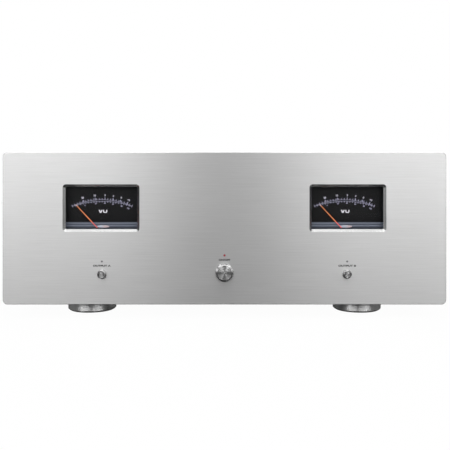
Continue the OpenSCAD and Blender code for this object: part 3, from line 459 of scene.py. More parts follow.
@functools.cache
def clear_meter_glass():
    """Polished clear acrylic: nearly unseen, with a thin cool reflection and smears of about 25 mm."""
    material, tree, shader, places = new_finish("clear_meter_glass", {
        "Base Color": (*linear("#0c0e12"), 1), "IOR": 1.49, "Alpha": 0.06,
    })
    mottle(tree, shader, places, 25, rough=(0.02, 0.07))
    material.surface_render_method = "BLENDED"
    return material


@functools.cache
def clear_tube_glass():
    """Blown tube glass: clear, thin and glossy, faintly grey, with ripples of about 12 mm."""
    material, tree, shader, places = new_finish("clear_tube_glass", {
        "Base Color": (*linear("#c8d2d6"), 1), "IOR": 1.47, "Alpha": 0.28,
    })
    mottle(tree, shader, places, 12, detail=1.0, rough=(0.02, 0.1))
    material.surface_render_method = "BLENDED"
    return material


# Moulded, glazed and wound finishes: colour, roughness from low to high and size of the grain in mm
GRAINED = {
    "moulded_meter_case": ("moulding", 0.45, 0.6, 0.5),
    "moulded_switch_body": ("moulding", 0.4, 0.55, 0.5),
    "moulded_epoxy": ("moulding", 0.4, 0.55, 0.6),
    "moulded_inlet_plastic": ("moulding", 0.35, 0.5, 0.5),
    "moulded_insulator_left": ("ceramic", 0.3, 0.4, 0.6),
    "moulded_insulator_right": ("cap_red", 0.3, 0.4, 0.6),
    "moulded_rubber": ("rubber", 0.75, 0.9, 0.8),
    "tinted_cap_plus": ("cap_red", 0.2, 0.32, 0.8),
    "tinted_cap_minus": ("moulding", 0.2, 0.32, 0.8),
    "clear_red_lens": ("lamp_red", 0.15, 0.25, 0.5),
    "smoked_lens": ("lamp_grey", 0.15, 0.25, 0.5),
    "black_oxide_steel": ("moulding", 0.35, 0.45, 1.0),
    "polyester_winding_tape": ("tape", 0.3, 0.45, 2.0),
    "shrunk_sleeve": ("sleeve", 0.3, 0.4, 3.0),
    "glazed_ceramic": ("ceramic", 0.2, 0.3, 4.0),
}


@functools.cache
def grained(name):
    """Moulded plastic and its like: an even colour with a fine grain, as a spark-eroded mould leaves it."""
    colour, low, high, grit = GRAINED[name]
    material, tree, shader, places = new_finish(name, {"IOR": 1.5})
    tones = tones_of(getattr(colours(), colour), (0.35, 0.85), (0.65, 1.15))
    mottle(tree, shader, places, grit, tones=tones, rough=(low, high), relief=(0.25, 0.03))
    return material


# Plated and bare metals: colour and roughness from low to high
METALS = {
    "enamelled_copper": ("copper", 0.3, 0.42),
    "bare_magnet_steel": ("magnet", 0.38, 0.5),
    "bare_brass": ("brass", 0.3, 0.4),
    "zinc_plated_steel": ("zinc", 0.28, 0.4),
    "nickel_plate": ("nickel", 0.18, 0.28),
    "gold_plate": ("gold", 0.16, 0.26),
}


@functools.cache
def plated(name):
    """Plated or bare metal: bright, with slow changes in its polish over about 3 mm."""
    colour, low, high = METALS[name]
    material, tree, shader, places = new_finish(name, {"Metallic": 1.0})
    tones = tones_of(getattr(colours(), colour), (0.3, 0.9), (0.7, 1.05))
    mottle(tree, shader, places, 3, detail=3.0, tones=tones, rough=(low, high))
    return material


@functools.cache
def circuit_board_laminate():
    """Glass laminate under green solder mask: fields of about 7 mm, lighter where copper lies below."""
    material, tree, shader, places = new_finish("circuit_board_laminate", {"IOR": 1.5})
    fields = add(
        tree, "ShaderNodeTexVoronoi", {"Vector": places["Object"], "Scale": 1 / (7 * MM)},
        distance="CHEBYCHEV",
    )
    vary(
        tree, shader, fields.outputs["Distance"],
        tones=tones_of(colours().board, (0.25, 0.75), (0.4, 1.35)), rough=(0.3, 0.45),
    )
    return material


# Edges above this angle, in degrees, stay sharp. It is lower on eased copies, to keep flat faces even.
SHARP = 35
EASED_SHARP = 20
# Steps round a turned piece
TURN_STEPS = 96


def new_object(name, work):
    """An object in the scene from a working mesh, which is freed."""
    mesh = bpy.data.meshes.new(name)
    work.to_mesh(mesh)
    work.free()
    thing = bpy.data.objects.new(name, mesh)
    bpy.context.scene.collection.objects.link(thing)
    return thing


def new_piece(name, work, finish, body=CHASSIS, replaces=None, sharp=SHARP):
    """Makes a working mesh a piece that rides on a body, takes a finish and may stand for a CAD node."""
    piece = new_object(name, work)
    piece.data.shade_smooth()
    piece.data.set_sharp_from_angle(angle=math.radians(sharp))
    # Faces from a tree point to its second material. Clearing points them to the first.
    piece.data.materials.clear()
    piece.data.materials.append(finish)
    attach(piece, body)
    if replaces:
        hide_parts(replaces)


def dress(finish, *nodes):
    """Gives CAD nodes that keep their shape a finish."""
    for node in nodes:
        for place in frame["nodes"][node].material_slots:
            place.material = finish


# On a CAD node's copy, faces within the first angle are one face, and edges above the second are rounded
FLAT_ANGLE = math.radians(0.5)
EDGE_ANGLE = math.radians(40)
# Steps across a rounded edge, and its shape: 0.5 is round, 1 is square
EASE_STEPS = 2
EASE_SHAPE = 0.6


def eased_copy(node, width):
    """A merged copy of a CAD node's mesh with its sharp edges rounded."""
    work = bmesh.new()
    work.from_mesh(frame["nodes"][node].data)
    bmesh.ops.remove_doubles(work, verts=work.verts, dist=MERGE)
    bmesh.ops.dissolve_limit(work, angle_limit=FLAT_ANGLE, verts=work.verts, edges=work.edges)
    sharp = [edge for edge in work.edges if edge.calc_face_angle(0) > EDGE_ANGLE]
    bmesh.ops.bevel(
        work, geom=sharp, offset=width, offset_type="OFFSET", segments=EASE_STEPS, profile=EASE_SHAPE,
        affect="EDGES", clamp_overlap=True,
    )
    return work


def turned(profile, steps=TURN_STEPS):
    """A solid of revolution round Y from (radius, y) points. Points off the axis close to a ring.

    Its turned map runs round the axis in U and along the profile in V, a millimetre to the unit.
    """
    work = bmesh.new()
    layer = work.loops.layers.uv.new(TURNED_MAP)
    travel = [0.0]
    for first, second in zip(profile, [*profile[1:], profile[0]]):
        travel.append(travel[-1] + math.dist(first, second) / MM)
    rings = []
    for radius, y in profile:
        count = steps if radius > 0 else 1
        turns = [2 * math.pi * i / steps for i in range(count)]
        rings.append([work.verts.new((radius * math.cos(a), y, radius * math.sin(a))) for a in turns])
    if profile[0][0] > 0:
        rings.append(rings[0])
    for row, (first, second) in enumerate(zip(rings, rings[1:])):
        near, far = travel[row : row + 2]
        for i in range(steps):
            # On the axis two corners fall together, and the face has three.
            corners = {}
            for ring, along, step in (
                (first, near, i), (first, near, i + 1), (second, far, i + 1), (second, far, i),
            ):
                corners.setdefault(ring[step % len(ring)], (step / steps, along))
            face = work.faces.new(list(corners))
            for loop in face.loops:
                loop[layer].uv = corners[loop.vert]
    bmesh.ops.recalc_face_normals(work, faces=work.faces)
    return work


def lofted(rows):
    """A closed solid from rows of points: each row is joined to the next, and both ends are filled."""
    work = bmesh.new()
    rings = [[work.verts.new(point) for point in row] for row in rows]
    for first, second in zip(rings, rings[1:]):
        for i in range(len(first)):
            j = (i + 1) % len(first)
            work.faces.new((first[i], first[j], second[j], second[i]))
    for end in (rings[0], rings[-1]):
        work.faces.new(end)
    bmesh.ops.recalc_face_normals(work, faces=work.faces)
    return work


def joined(works):
    """One working mesh from several, which are freed."""
    whole = bmesh.new()
    for work in works:
        part = bpy.data.meshes.new("part")
        work.to_mesh(part)
        work.free()
        whole.from_mesh(part)
        bpy.data.meshes.remove(part)
    return whole


def moved(work, matrix):
    """The same working mesh, moved and turned."""
    bmesh.ops.transform(work, matrix=matrix, verts=work.verts)
    return work


def upright(place, rear=False):
    """Stands a flat XY drawing up at a place, facing the front, or the rear."""
    turn = Matrix.Rotation(math.pi, 4, "Z") if rear else Matrix.Identity(4)
    return Matrix.Translation(place) @ turn @ Matrix.Rotation(math.pi / 2, 4, "X")


def realised(holder):
    """The working mesh of what an object shows once it is evaluated. The object is removed."""
    bpy.context.scene.collection.objects.link(holder)
    depsgraph = bpy.context.evaluated_depsgraph_get()
    mesh = bpy.data.meshes.new_from_object(holder.evaluated_get(depsgraph))
    bpy.data.objects.remove(holder)
    work = bmesh.new()
    work.from_mesh(mesh)
    bpy.data.meshes.remove(mesh)
    return work


def lettering(words, height, matrix, width=None, weight=0.0):
    """Printed words as a thin solid, centred in a flat XY drawing that the matrix then places."""
    drawing = bpy.data.curves.new("words", "FONT")
    drawing.body = words
    drawing.offset = weight
    drawing.resolution_u = 3
    drawing.extrude = sizes().ink_depth / 2
    work = realised(bpy.data.objects.new("words", drawing))
    bpy.data.curves.remove(drawing)
    bmesh.ops.remove_doubles(work, verts=work.verts, dist=MERGE)
    low = Vector([min(vert.co[i] for vert in work.verts) for i in range(3)])
    high = Vector([max(vert.co[i] for vert in work.verts) for i in range(3)])
    tall = height / (high.y - low.y)
    wide = width / (high.x - low.x) if width else tall
    scale = Matrix.Diagonal((wide, tall, 1, 1))
    return moved(work, matrix @ scale @ Matrix.Translation(-(low + high) / 2))


def new_tree(name, inputs):
    """A tree of geometry nodes with named inputs: gives the tree and the inputs' outlets."""
    tree = bpy.data.node_groups.new(name, "GeometryNodeTree")
    for key, kind in inputs:
        tree.interface.new_socket(key, in_out="INPUT", socket_type=f"NodeSocket{kind}")
    tree.interface.new_socket("Geometry", in_out="OUTPUT", socket_type="NodeSocketGeometry")
    return tree, add(tree, "NodeGroupInput").outputs


def close_tree(tree, shapes, finish):
    """Ends a tree: joins its shapes, makes copies real and sets the finish."""
    whole = add(tree, "GeometryNodeJoinGeometry")
    for shape in shapes:
        tree.links.new(shape, whole.inputs[0])
    real = add(tree, "GeometryNodeRealizeInstances", {"Geometry": whole.outputs[0]})
    dressed = add(tree, "GeometryNodeSetMaterial", {"Geometry": real.outputs[0], "Material": finish})
    add(tree, "NodeGroupOutput", {"Geometry": dressed.outputs[0]})
    return tree


def grown(tree, inputs):
    """The working mesh that a tree of geometry nodes makes from its named inputs."""
    holder = bpy.data.objects.new(tree.name, bpy.data.meshes.new(tree.name))
    modifier = holder.modifiers.new(tree.name, "NODES")
    modifier.node_group = tree
    for item in tree.interface.items_tree:
        if item.in_out == "INPUT":
            modifier[item.identifier] = inputs[item.name]
    return realised(holder)


# Steps along a dial's line
ARC_STEPS = 48


@functools.cache
def dial_scale_tree():
    """A line along an arc with a row of ticks outside it, or inside it if their height is below 0."""
    tree, given = new_tree("dial_scale", (
        ("Radius", "Float"), ("Half Angle", "Float"), ("Line Width", "Float"), ("Tick Width", "Float"),
        ("Tick Height", "Float"), ("Ticks", "Int"), ("Ink Depth", "Float"), ("Ink", "Material"),
    ))
    start = add(tree, "ShaderNodeMath", {0: math.pi / 2, 1: given["Half Angle"]}, operation="SUBTRACT")
    sweep = add(tree, "ShaderNodeMath", {0: 2.0, 1: given["Half Angle"]}, operation="MULTIPLY")
    arc = add(tree, "GeometryNodeCurveArc", {
        "Resolution": ARC_STEPS, "Radius": given["Radius"],
        "Start Angle": start.outputs[0], "Sweep Angle": sweep.outputs[0],
    })
    level = add(tree, "GeometryNodeSetCurveNormal", {"Curve": arc.outputs["Curve"]}, mode="Z_UP")
    section = add(tree, "GeometryNodeCurvePrimitiveQuadrilateral", {
        "Width": given["Line Width"], "Height": given["Ink Depth"],
    })
    line = add(tree, "GeometryNodeCurveToMesh", {
        "Curve": level.outputs["Curve"], "Profile Curve": section.outputs["Curve"], "Fill Caps": True,
    })
    points = add(tree, "GeometryNodePoints", {"Count": given["Ticks"]})
    index = add(tree, "GeometryNodeInputIndex")
    last = add(tree, "ShaderNodeMath", {0: given["Ticks"], 1: 1.0}, operation="SUBTRACT")
    low = add(tree, "ShaderNodeMath", {0: 0.0, 1: given["Half Angle"]}, operation="SUBTRACT")
    angle = add(tree, "ShaderNodeMapRange", {
        "Value": index.outputs[0], "From Max": last.outputs[0],
        "To Min": low.outputs[0], "To Max": given["Half Angle"],
    })
    reach = add(tree, "ShaderNodeMath", {
        0: given["Tick Height"], 1: 0.5, 2: given["Radius"],
    }, operation="MULTIPLY_ADD")
    across = add(tree, "ShaderNodeMath", {0: angle.outputs[0]}, operation="SINE")
    up = add(tree, "ShaderNodeMath", {0: angle.outputs[0]}, operation="COSINE")
    bearing = add(tree, "ShaderNodeCombineXYZ", {"X": across.outputs[0], "Y": up.outputs[0]})
    place = add(tree, "ShaderNodeVectorMath", {
        0: bearing.outputs[0], "Scale": reach.outputs[0],
    }, operation="SCALE")
    spread = add(tree, "GeometryNodeSetPosition", {
        "Geometry": points.outputs[0], "Position": place.outputs["Vector"],
    })
    back = add(tree, "ShaderNodeMath", {0: angle.outputs[0], 1: -1.0}, operation="MULTIPLY")
    lean = add(tree, "ShaderNodeCombineXYZ", {"Z": back.outputs[0]})
    turn = add(tree, "FunctionNodeEulerToRotation", {0: lean.outputs[0]})
    tall = add(tree, "ShaderNodeMath", {0: given["Tick Height"]}, operation="ABSOLUTE")
    size = add(tree, "ShaderNodeCombineXYZ", {
        "X": given["Tick Width"], "Y": tall.outputs[0], "Z": given["Ink Depth"],
    })
    tick = add(tree, "GeometryNodeMeshCube", {"Size": size.outputs[0]})
    ticks = add(tree, "GeometryNodeInstanceOnPoints", {
        "Points": spread.outputs[0], "Instance": tick.outputs["Mesh"], "Rotation": turn.outputs[0],
    })
    return close_tree(tree, [line.outputs[0], ticks.outputs[0]], given["Ink"])


@functools.cache
def fin_row_tree():
    """A row of fins: one fin set out along a line."""
    tree, given = new_tree("fin_row", (
        ("Fin", "Object"), ("Count", "Int"), ("First", "Vector"), ("Step", "Vector"),
        ("Finish", "Material"),
    ))
    line = add(tree, "GeometryNodeMeshLine", {
        "Count": given["Count"], "Start Location": given["First"], "Offset": given["Step"],
    })
    fin = add(tree, "GeometryNodeObjectInfo", {"Object": given["Fin"]})
    fins = add(tree, "GeometryNodeInstanceOnPoints", {
        "Points": line.outputs[0], "Instance": fin.outputs["Geometry"],
    })
    return close_tree(tree, [fins.outputs[0]], given["Finish"])


@functools.cache
def winding_tree():
    """Turns of tape on a ring core: one crowned turn set out round an upright axis."""
    tree, given = new_tree("winding", (
        ("Turn", "Object"), ("Count", "Int"), ("Centre", "Vector"), ("Finish", "Material"),
    ))
    points = add(tree, "GeometryNodePoints", {"Count": given["Count"], "Position": given["Centre"]})
    index = add(tree, "GeometryNodeInputIndex")
    angle = add(tree, "ShaderNodeMapRange", {
        "Value": index.outputs[0], "From Max": given["Count"], "To Max": 2 * math.pi,
    })
    bearing = add(tree, "ShaderNodeCombineXYZ", {"Z": angle.outputs[0]})
    turn = add(tree, "FunctionNodeEulerToRotation", {0: bearing.outputs[0]})
    tape = add(tree, "GeometryNodeObjectInfo", {"Object": given["Turn"]})
    turns = add(tree, "GeometryNodeInstanceOnPoints", {
        "Points": points.outputs[0], "Instance": tape.outputs["Geometry"], "Rotation": turn.outputs[0],
    })
    return close_tree(tree, [turns.outputs[0]], given["Finish"])


# Half of the floor's width in metres, and the shares of white that the camera and mirrors see on it
FLOOR_HALF = 6
FLOOR_WHITE = 0.97
FLOOR_MIRRORED = 0.45


def make_floor():
    """A pale floor that shows white, keeps a faint shadow and lights the object from below."""
    work = bmesh.new()
    bmesh.ops.create_grid(work, x_segments=1, y_segments=1, size=FLOOR_HALF)
    floor = new_object("floor", work)
    material, tree = new_material("pale_floor")
    ray = add(tree, "ShaderNodeLightPath").outputs
    seen = add(tree, "ShaderNodeMath", {
        0: ray["Is Camera Ray"], 1: ray["Is Transmission Ray"],
    }, operation="MAXIMUM")
    direct = add(tree, "ShaderNodeMath", {0: seen.outputs[0], 1: FLOOR_WHITE}, operation="MULTIPLY")
    mirrored = add(
        tree, "ShaderNodeMath", {0: ray["Is Glossy Ray"], 1: FLOOR_MIRRORED}, operation="MULTIPLY"
    )
    share = add(
        tree, "ShaderNodeMath", {0: direct.outputs[0], 1: mirrored.outputs[0]}, operation="MAXIMUM"
    )
    lit = add(tree, "ShaderNodeBsdfDiffuse", {"Color": (*linear("#ececec"), 1)})
    white = add(tree, "ShaderNodeEmission", {"Color": (1, 1, 1, 1), "Strength": 1.0})
    mix = add(tree, "ShaderNodeMixShader", {0: share.outputs[0], 1: lit.outputs[0], 2: white.outputs[0]})
    add(tree, "ShaderNodeOutputMaterial", {"Surface": mix.outputs[0]})
    floor.data.materials.append(material)


# Strength of the light that the studio gives. Seen or mirrored, it is white.
STUDIO_LIGHT = 0.45


def make_world():
    """A white studio for the camera, metal and glass, and a softer one for the light it gives."""
    world = bpy.data.worlds.new("studio")
    bpy.context.scene.world = world
    world.use_nodes = True
    tree = world.node_tree
    tree.nodes.clear()
    ray = add(tree, "ShaderNodeLightPath").outputs
    through = add(tree, "ShaderNodeMath", {
        0: ray["Is Glossy Ray"], 1: ray["Is Transmission Ray"],
    }, operation="MAXIMUM")
    seen = add(tree, "ShaderNodeMath", {
        0: ray["Is Camera Ray"], 1: through.outputs[0],
    }, operation="MAXIMUM")
    soft = add(tree, "ShaderNodeBackground", {"Color": (1, 1, 1, 1), "Strength": STUDIO_LIGHT})
    white = add(tree, "ShaderNodeBackground", {"Color": (1, 1, 1, 1), "Strength": 1.0})
    mix = add(tree, "ShaderNodeMixShader", {0: seen.outputs[0], 1: soft.outputs[0], 2: white.outputs[0]})
    add(tree, "ShaderNodeOutputWorld", {"Surface": mix.outputs[0]})


# Section of the cove from its floor up: radius and height in metres
COVE_SECTION = ((0.001, 0.0005), (2.2, 0.0005), (2.2, 2.6), (0.3, 3.6))
# How far the cove reaches to each side in degrees, and its steps
COVE_REACH = 140
COVE_STEPS = 60
# Its greys: height as a share of the whole, and grey
COVE_GREYS = ((0.0, 0.005), (0.003, 0.283), (0.3, 0.0), (0.72, 0.444), (1.0, 0.941))
COVE_GLOW = 3.0
# Bearings in degrees between which the wall brightens, and the share that is left in the middle
COVE_FADE = (4, 24, 0.1)
# Height in metres over which the wall goes over into the ceiling
COVE_BLEND = 0.2


def make_cove():
    """A dark cove round the front, which only mirrors see: it keeps metal from going flat white."""
    work = bmesh.new()
    turns = [math.radians(COVE_REACH) * (i / COVE_STEPS * 2 - 1) for i in range(COVE_STEPS + 1)]
    rows = []
    for radius, height in COVE_SECTION:
        points = [(radius * math.sin(a), FRONT - radius * math.cos(a), height) for a in turns]
        rows.append([work.verts.new(point) for point in points])
    for lower, upper in zip(rows, rows[1:]):
        for i in range(COVE_STEPS):
            work.faces.new((lower[i], lower[i + 1], upper[i + 1], upper[i]))
    cove = new_object("dark_cove", work)
    for sight in ("camera", "diffuse", "transmission", "volume_scatter", "shadow"):
        setattr(cove, f"visible_{sight}", False)
    material, tree = new_material("dark_cove")
    # Mirrors find so large a surface by themselves, so the lamps keep all the samples aimed at lights.
    material.cycles.emission_sampling = "NONE"
    place = add(tree, "ShaderNodeTexCoord").outputs["Object"]
    place = add(tree, "ShaderNodeSeparateXYZ", {"Vector": place}).outputs
    share = add(tree, "ShaderNodeMapRange", {"Value": place["Z"], "From Max": COVE_SECTION[-1][1]})
    greys = add(
        tree, "ShaderNodeValToRGB", {"Fac": share.outputs[0]},
        ramp=[(stop, (grey, grey, grey)) for stop, grey in COVE_GREYS],
    )
    # The wall fades towards the middle, the ceiling doesn't.
    across = add(tree, "ShaderNodeMath", {0: place["X"]}, operation="ABSOLUTE")
    ahead = add(tree, "ShaderNodeMath", {0: FRONT, 1: place["Y"]}, operation="SUBTRACT")
    bearing = add(tree, "ShaderNodeMath", {0: across.outputs[0], 1: ahead.outputs[0]}, operation="ARCTAN2")
    near, far, least = COVE_FADE
    side = add(tree, "ShaderNodeMapRange", {
        "Value": bearing.outputs[0], "From Min": math.radians(near), "From Max": math.radians(far),
        "To Min": least * COVE_GLOW, "To Max": COVE_GLOW,
    })
    wall_top = COVE_SECTION[2][1]
    above = add(tree, "ShaderNodeMapRange", {
        "Value": place["Z"], "From Min": wall_top - COVE_BLEND, "From Max": wall_top, "To Max": COVE_GLOW,
    })
    strength = add(tree, "ShaderNodeMath", {0: side.outputs[0], 1: above.outputs[0]}, operation="MAXIMUM")
    glow = add(tree, "ShaderNodeEmission", {
        "Color": greys.outputs["Color"], "Strength": strength.outputs[0],
    })
    add(tree, "ShaderNodeOutputMaterial", {"Surface": glow.outputs[0]})
    cove.data.materials.append(material)


# Soft boxes on each side: bearing from the panel's middle and rise in degrees, and power in watts
SOFT_BOXES = (
    (14, 14, 2.65), (20, 19, 1.25), (38, 32, 2.7), (28, 8, 0.1), (34, 8, 1.8), (44, 8, 1.6), (54, 8, 1.2),
)
# Their distance, width and height in metres
BOX_DISTANCE = 1.6
BOX_WIDTH = 0.35
BOX_HEIGHT = 0.3
# The box overhead: place, width and depth in metres, and power in watts
TOP_BOX = (Vector((0, 0.1, 2.0)), 1.8, 1.4, 16)


def make_lamps():
    """A bank of soft boxes on each side of the camera, and a large one overhead that mirrors don't show."""
    target = Vector((0, FRONT, (PANEL_LOW.z + PANEL_HIGH.z) / 2))
    lamps = []
    for degrees, lift, power in SOFT_BOXES:
        rise = math.radians(lift)
        for bearing in (math.radians(-degrees), math.radians(degrees)):
            level = math.cos(rise)
            away = Vector((level * math.sin(bearing), -level * math.cos(bearing), math.sin(rise)))
            lamps.append(("soft_box", target + away * BOX_DISTANCE, BOX_WIDTH, BOX_HEIGHT, power))
    lamps.append(("top_box", *TOP_BOX))
    for name, place, width, height, power in lamps:
        lamp = bpy.data.lights.new(name, "AREA")
        lamp.shape = "RECTANGLE"
        lamp.size = width
        lamp.size_y = height
        lamp.energy = power
        holder = bpy.data.objects.new(name, lamp)
        bpy.context.scene.collection.objects.link(holder)
        holder.visible_glossy = name != "top_box"
        holder.location = place
        holder.rotation_euler = (place - target).to_track_quat("Z", "Y").to_euler()


def make_camera():
    """A level camera in front of the panel, shifted down so that the panel keeps its upright edges."""
    scene = bpy.context.scene
    given = sizes()
    lens = bpy.data.cameras.new("camera")
    lens.lens = lens.sensor_width * given.camera_distance / given.view_width
    lens.shift_y = (given.view_middle - given.camera_height) / given.view_width
    camera = bpy.data.objects.new("camera", lens)
    scene.collection.objects.link(camera)
    camera.location = (given.camera_side, FRONT - given.camera_distance, given.camera_height)
    camera.rotation_euler = (math.pi / 2, 0, 0)
    scene.camera = camera
    scene.view_settings.view_transform = "Standard"


class AMPLIFIER_OT_stage(bpy.types.Operator):
    """Sets up the floor, the studio, the lamps and the camera."""

    bl_idname = "amplifier.stage"
    bl_label = "Stage"

    def execute(self, context):
        make_floor()
        make_world()
        make_cove()
        make_lamps()
        make_camera()
        return {"FINISHED"}


# Small print: words, the light above them, the button below them, width and distance below the light in mm
LABELS = (
    ("ON/OFF", "power_light", None, 11.2, 4.4),
    ("OUTPUT A", "speaker_lights", "speaker_a_button", 17.3, 4.2),
    ("OUTPUT B", "speaker_lights", "speaker_b_button", 17.3, 4.2),
)
# How much bolder than the plain font the front's labels, the dials' numbers and the rear's words are
LABEL_WEIGHT = 0.05
NUMBER_WEIGHT = 0.03
REAR_WEIGHT = 0.025


class AMPLIFIER_OT_fascia(bpy.types.Operator):
    """Brushes the front panel and prints its small labels."""

    bl_idname = "amplifier.fascia"
    bl_label = "Fascia"

    def execute(self, context):
        dress(brushed_anodised_aluminium(), "front_panel")
        dress(black_powder_coat(), "front_subpanel")
        words = []
        for text, light, button, width, drop in LABELS:
            place = middle(light)
            if button:
                place.x = middle(button).x
            place.y = FRONT
            place.z -= drop * MM
            words.append(lettering(text, sizes().label_height, upright(place), width * MM, LABEL_WEIGHT))
        new_piece("fascia_labels", joined(words), printed_ink("label_ink"))
        return {"FINISHED"}


# Numbers on a dial: words and place along the scale's line in mm, left to right
UPPER_NUMBERS = (("20", -19.9), ("10", -7.9), ("5", 2.2), ("3", 10.4), ("0", 18.1), ("+3", 25.4))
LOWER_NUMBERS = (("0", -17.6), ("20", -7.0), ("40", 1.8), ("60", 10.0), ("80", 18.5), ("100", 25.0))
# Their distance outside the scale's upper line, in mm
UPPER_RISE = 4.5
LOWER_RISE = -3.4
# The scale's middle and top and the unit's middle, from the window's centre, in mm
SCALE_SHIFT = -0.7
SCALE_TOP = 7.9
UNIT_RISE = -3.5
# Width of a tick at a number, as a share of the others
NUMBER_TICK_SHARE = 1.2
# Bold V and U as outlines, in shares of a letter's width and height
BOLD_V = ((0, 1), (0.3, 1), (0.5, 0.38), (0.7, 1), (1, 1), (0.66, 0), (0.34, 0))
BOLD_U = (
    (0, 1), (0.24, 1), (0.24, 0.42), (0.31, 0.3), (0.5, 0.26), (0.69, 0.3), (0.76, 0.42), (0.76, 1), (1, 1),
    (1, 0.36), (0.93, 0.14), (0.76, 0.02), (0.5, -0.02), (0.24, 0.02), (0.07, 0.14), (0, 0.36),
)
# Width of one letter as a share of the two letters together
LETTER_SHARE = 0.47


def bold_letter(outline, width, height, left, matrix):
    """A letter cut from an outline as a thin solid, set off to the right and centred in height."""
    thick = sizes().ink_depth / 2
    work = lofted([
        [(left + x * width, (y - 0.5) * height, z) for x, y in outline] for z in (-thick, thick)
    ])
    bmesh.ops.triangulate(work, faces=[face for face in work.faces if len(face.verts) > 4])
    return moved(work, matrix)


def flat_bar(width, height, matrix):
    """A printed bar as a thin solid, centred in a flat XY drawing that the matrix then places."""
    work = bmesh.new()
    bmesh.ops.create_cube(work, size=1, matrix=Matrix.Diagonal((width, height, sizes().ink_depth, 1)))
    return moved(work, matrix)


def scale_lines(centre):
    """The two lines of a dial's scale: each line's middle, radius, half angle, ticks and tick height."""
    given = sizes()
    radius, half, band = given.scale_radius, given.scale_half, given.scale_band
    half_width = radius * math.sin(half)
    drop = radius * (1 - math.cos(half)) - band
    flat_radius = (half_width**2 + drop**2) / (2 * drop)
    flat_half = math.asin(half_width / flat_radius)
    top = centre + Vector((SCALE_SHIFT * MM, 0, SCALE_TOP * MM))
    down = Vector((0, 0, -1))
    return (
        (top + down * radius, radius, half, given.outer_ticks, given.outer_tick),
        (top + down * (band + flat_radius), flat_radius, flat_half, given.inner_ticks, -given.inner_tick),
    )


def make_dial(side):
    """Prints a dial's scale, numbers and unit on its plate."""
    given = sizes()
    plate = f"meter_dial_{side}"
    dress(satin_black_dial(), plate)
    centre = window_centre(side)
    centre.x += PRINT_SHIFT[side] * MM
    centre.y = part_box(plate)[0].y
    lines = scale_lines(centre)
    upper, lower = [], []
    for hub, radius, half, ticks, tall in lines:
        scale = grown(dial_scale_tree(), {
            "Radius": radius, "Half Angle": half, "Line Width": given.scale_line,
            "Tick Width": given.tick_width, "Tick Height": tall, "Ticks": ticks,
            "Ink Depth": given.ink_depth, "Ink": printed_ink("ink"),
        })
        lower.append(moved(scale, upright(hub)))
    hub, radius = lines[0][:2]
    for row, rise, height, words in (
        (UPPER_NUMBERS, UPPER_RISE, given.number_height, upper),
        (LOWER_NUMBERS, LOWER_RISE, given.small_number, lower),
    ):
        reach = radius + rise * MM
        for text, across in row:
            turn = Matrix.Rotation(-math.asin((across - SCALE_SHIFT) * MM / reach), 4, "Z")
            turn = upright(hub) @ turn
            place = turn @ Matrix.Translation((0, reach, 0))
            words.append(lettering(text, height, place, weight=NUMBER_WEIGHT))
            if words is upper:
                mark = Matrix.Translation((0, radius + given.number_tick / 2, 0))
                wide = given.tick_width * NUMBER_TICK_SHARE
                lower.append(flat_bar(wide, given.number_tick, turn @ mark))
    new_piece(f"dial_scale_{side}", joined(lower), printed_ink("ink"))
    new_piece(f"dial_numbers_{side}", joined(upper), printed_ink("number_ink"))
    stand = upright(centre + Vector((0, 0, UNIT_RISE * MM)))
    wide = given.unit_width * LETTER_SHARE
    letters = [
        bold_letter(BOLD_V, wide, given.unit_height, -given.unit_width / 2, stand),
        bold_letter(BOLD_U, wide, given.unit_height, given.unit_width / 2 - wide, stand),
    ]
    new_piece(f"dial_unit_{side}", joined(letters), printed_ink("unit_ink"))


# Section of the strip along a dial: depth behind its front and height below its top, in mm
STRIP_SECTION = (
    (0.8, 0.0), (0.15, 0.25), (0.0, 0.8), (0.05, 1.8), (0.35, 2.3), (0.75, 2.5), (0.35, 2.7), (0.05, 3.0),
    (0.0, 3.5), (0.15, 4.4), (0.4, 5.3), (0.65, 6.2), (0.7, 7.6), (1.0, 7.6), (1.0, 0.0),
)


def make_strips():
    """The two ribbed strips along the dials' lower edges."""
    node = "meter_aprons"
    low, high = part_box(node)
    strips = []
    for side in SIDES:
        strips.append(lofted([
            [(end.x, low.y + depth * MM, high.z - drop * MM) for depth, drop in STRIP_SECTION]
            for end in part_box(f"meter_dial_{side}")
        ]))
    new_piece("ribbed_strips", joined(strips), slate_anodised_strip(), replaces=node)


def make_pivot_cover(side):
    """A long low dome on the strip, over the needle's bearing: the front half of a flattened ball. Its
    colour is a painted reflection.
    """
    work = bmesh.new()
    round_steps, long_steps = COVER_STEPS
    bmesh.ops.create_uvsphere(work, u_segments=round_steps, v_segments=long_steps, radius=0.5)
    behind = [vert for vert in work.verts if vert.co.y > 0.001]
    bmesh.ops.delete(work, geom=behind, context="VERTS")
    bmesh.ops.holes_fill(work, edges=[edge for edge in work.edges if edge.is_boundary])
    bmesh.ops.recalc_face_normals(work, faces=work.faces)
    across, up = COVER_PLACE
    place = window_centre(side) + Vector(((across + PRINT_SHIFT[side]) * MM, 0, up * MM))
    place.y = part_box("meter_aprons")[0].y
    shape = Matrix.Diagonal((COVER_WIDTH * MM, 2 * COVER_DEPTH * MM, COVER_HEIGHT * MM, 1))
    moved(work, Matrix.Translation(place) @ shape)
    new_piece(f"pivot_cover_{side}", work, pivot_painted_reflection(side))


class AMPLIFIER_OT_meters(bpy.types.Operator):
    """Makes the meters: dials with their print, strips, pivot covers, glass and cases."""

    bl_idname = "amplifier.meters"
    bl_label = "Meters"

    def execute(self, context):
        for side in SIDES:
            make_dial(side)
            make_pivot_cover(side)
            dress(clear_meter_glass(), f"meter_glass_{side}")
            dress(grained("moulded_meter_case"), f"meter_case_{side}")
        make_strips()
        return {"FINISHED"}


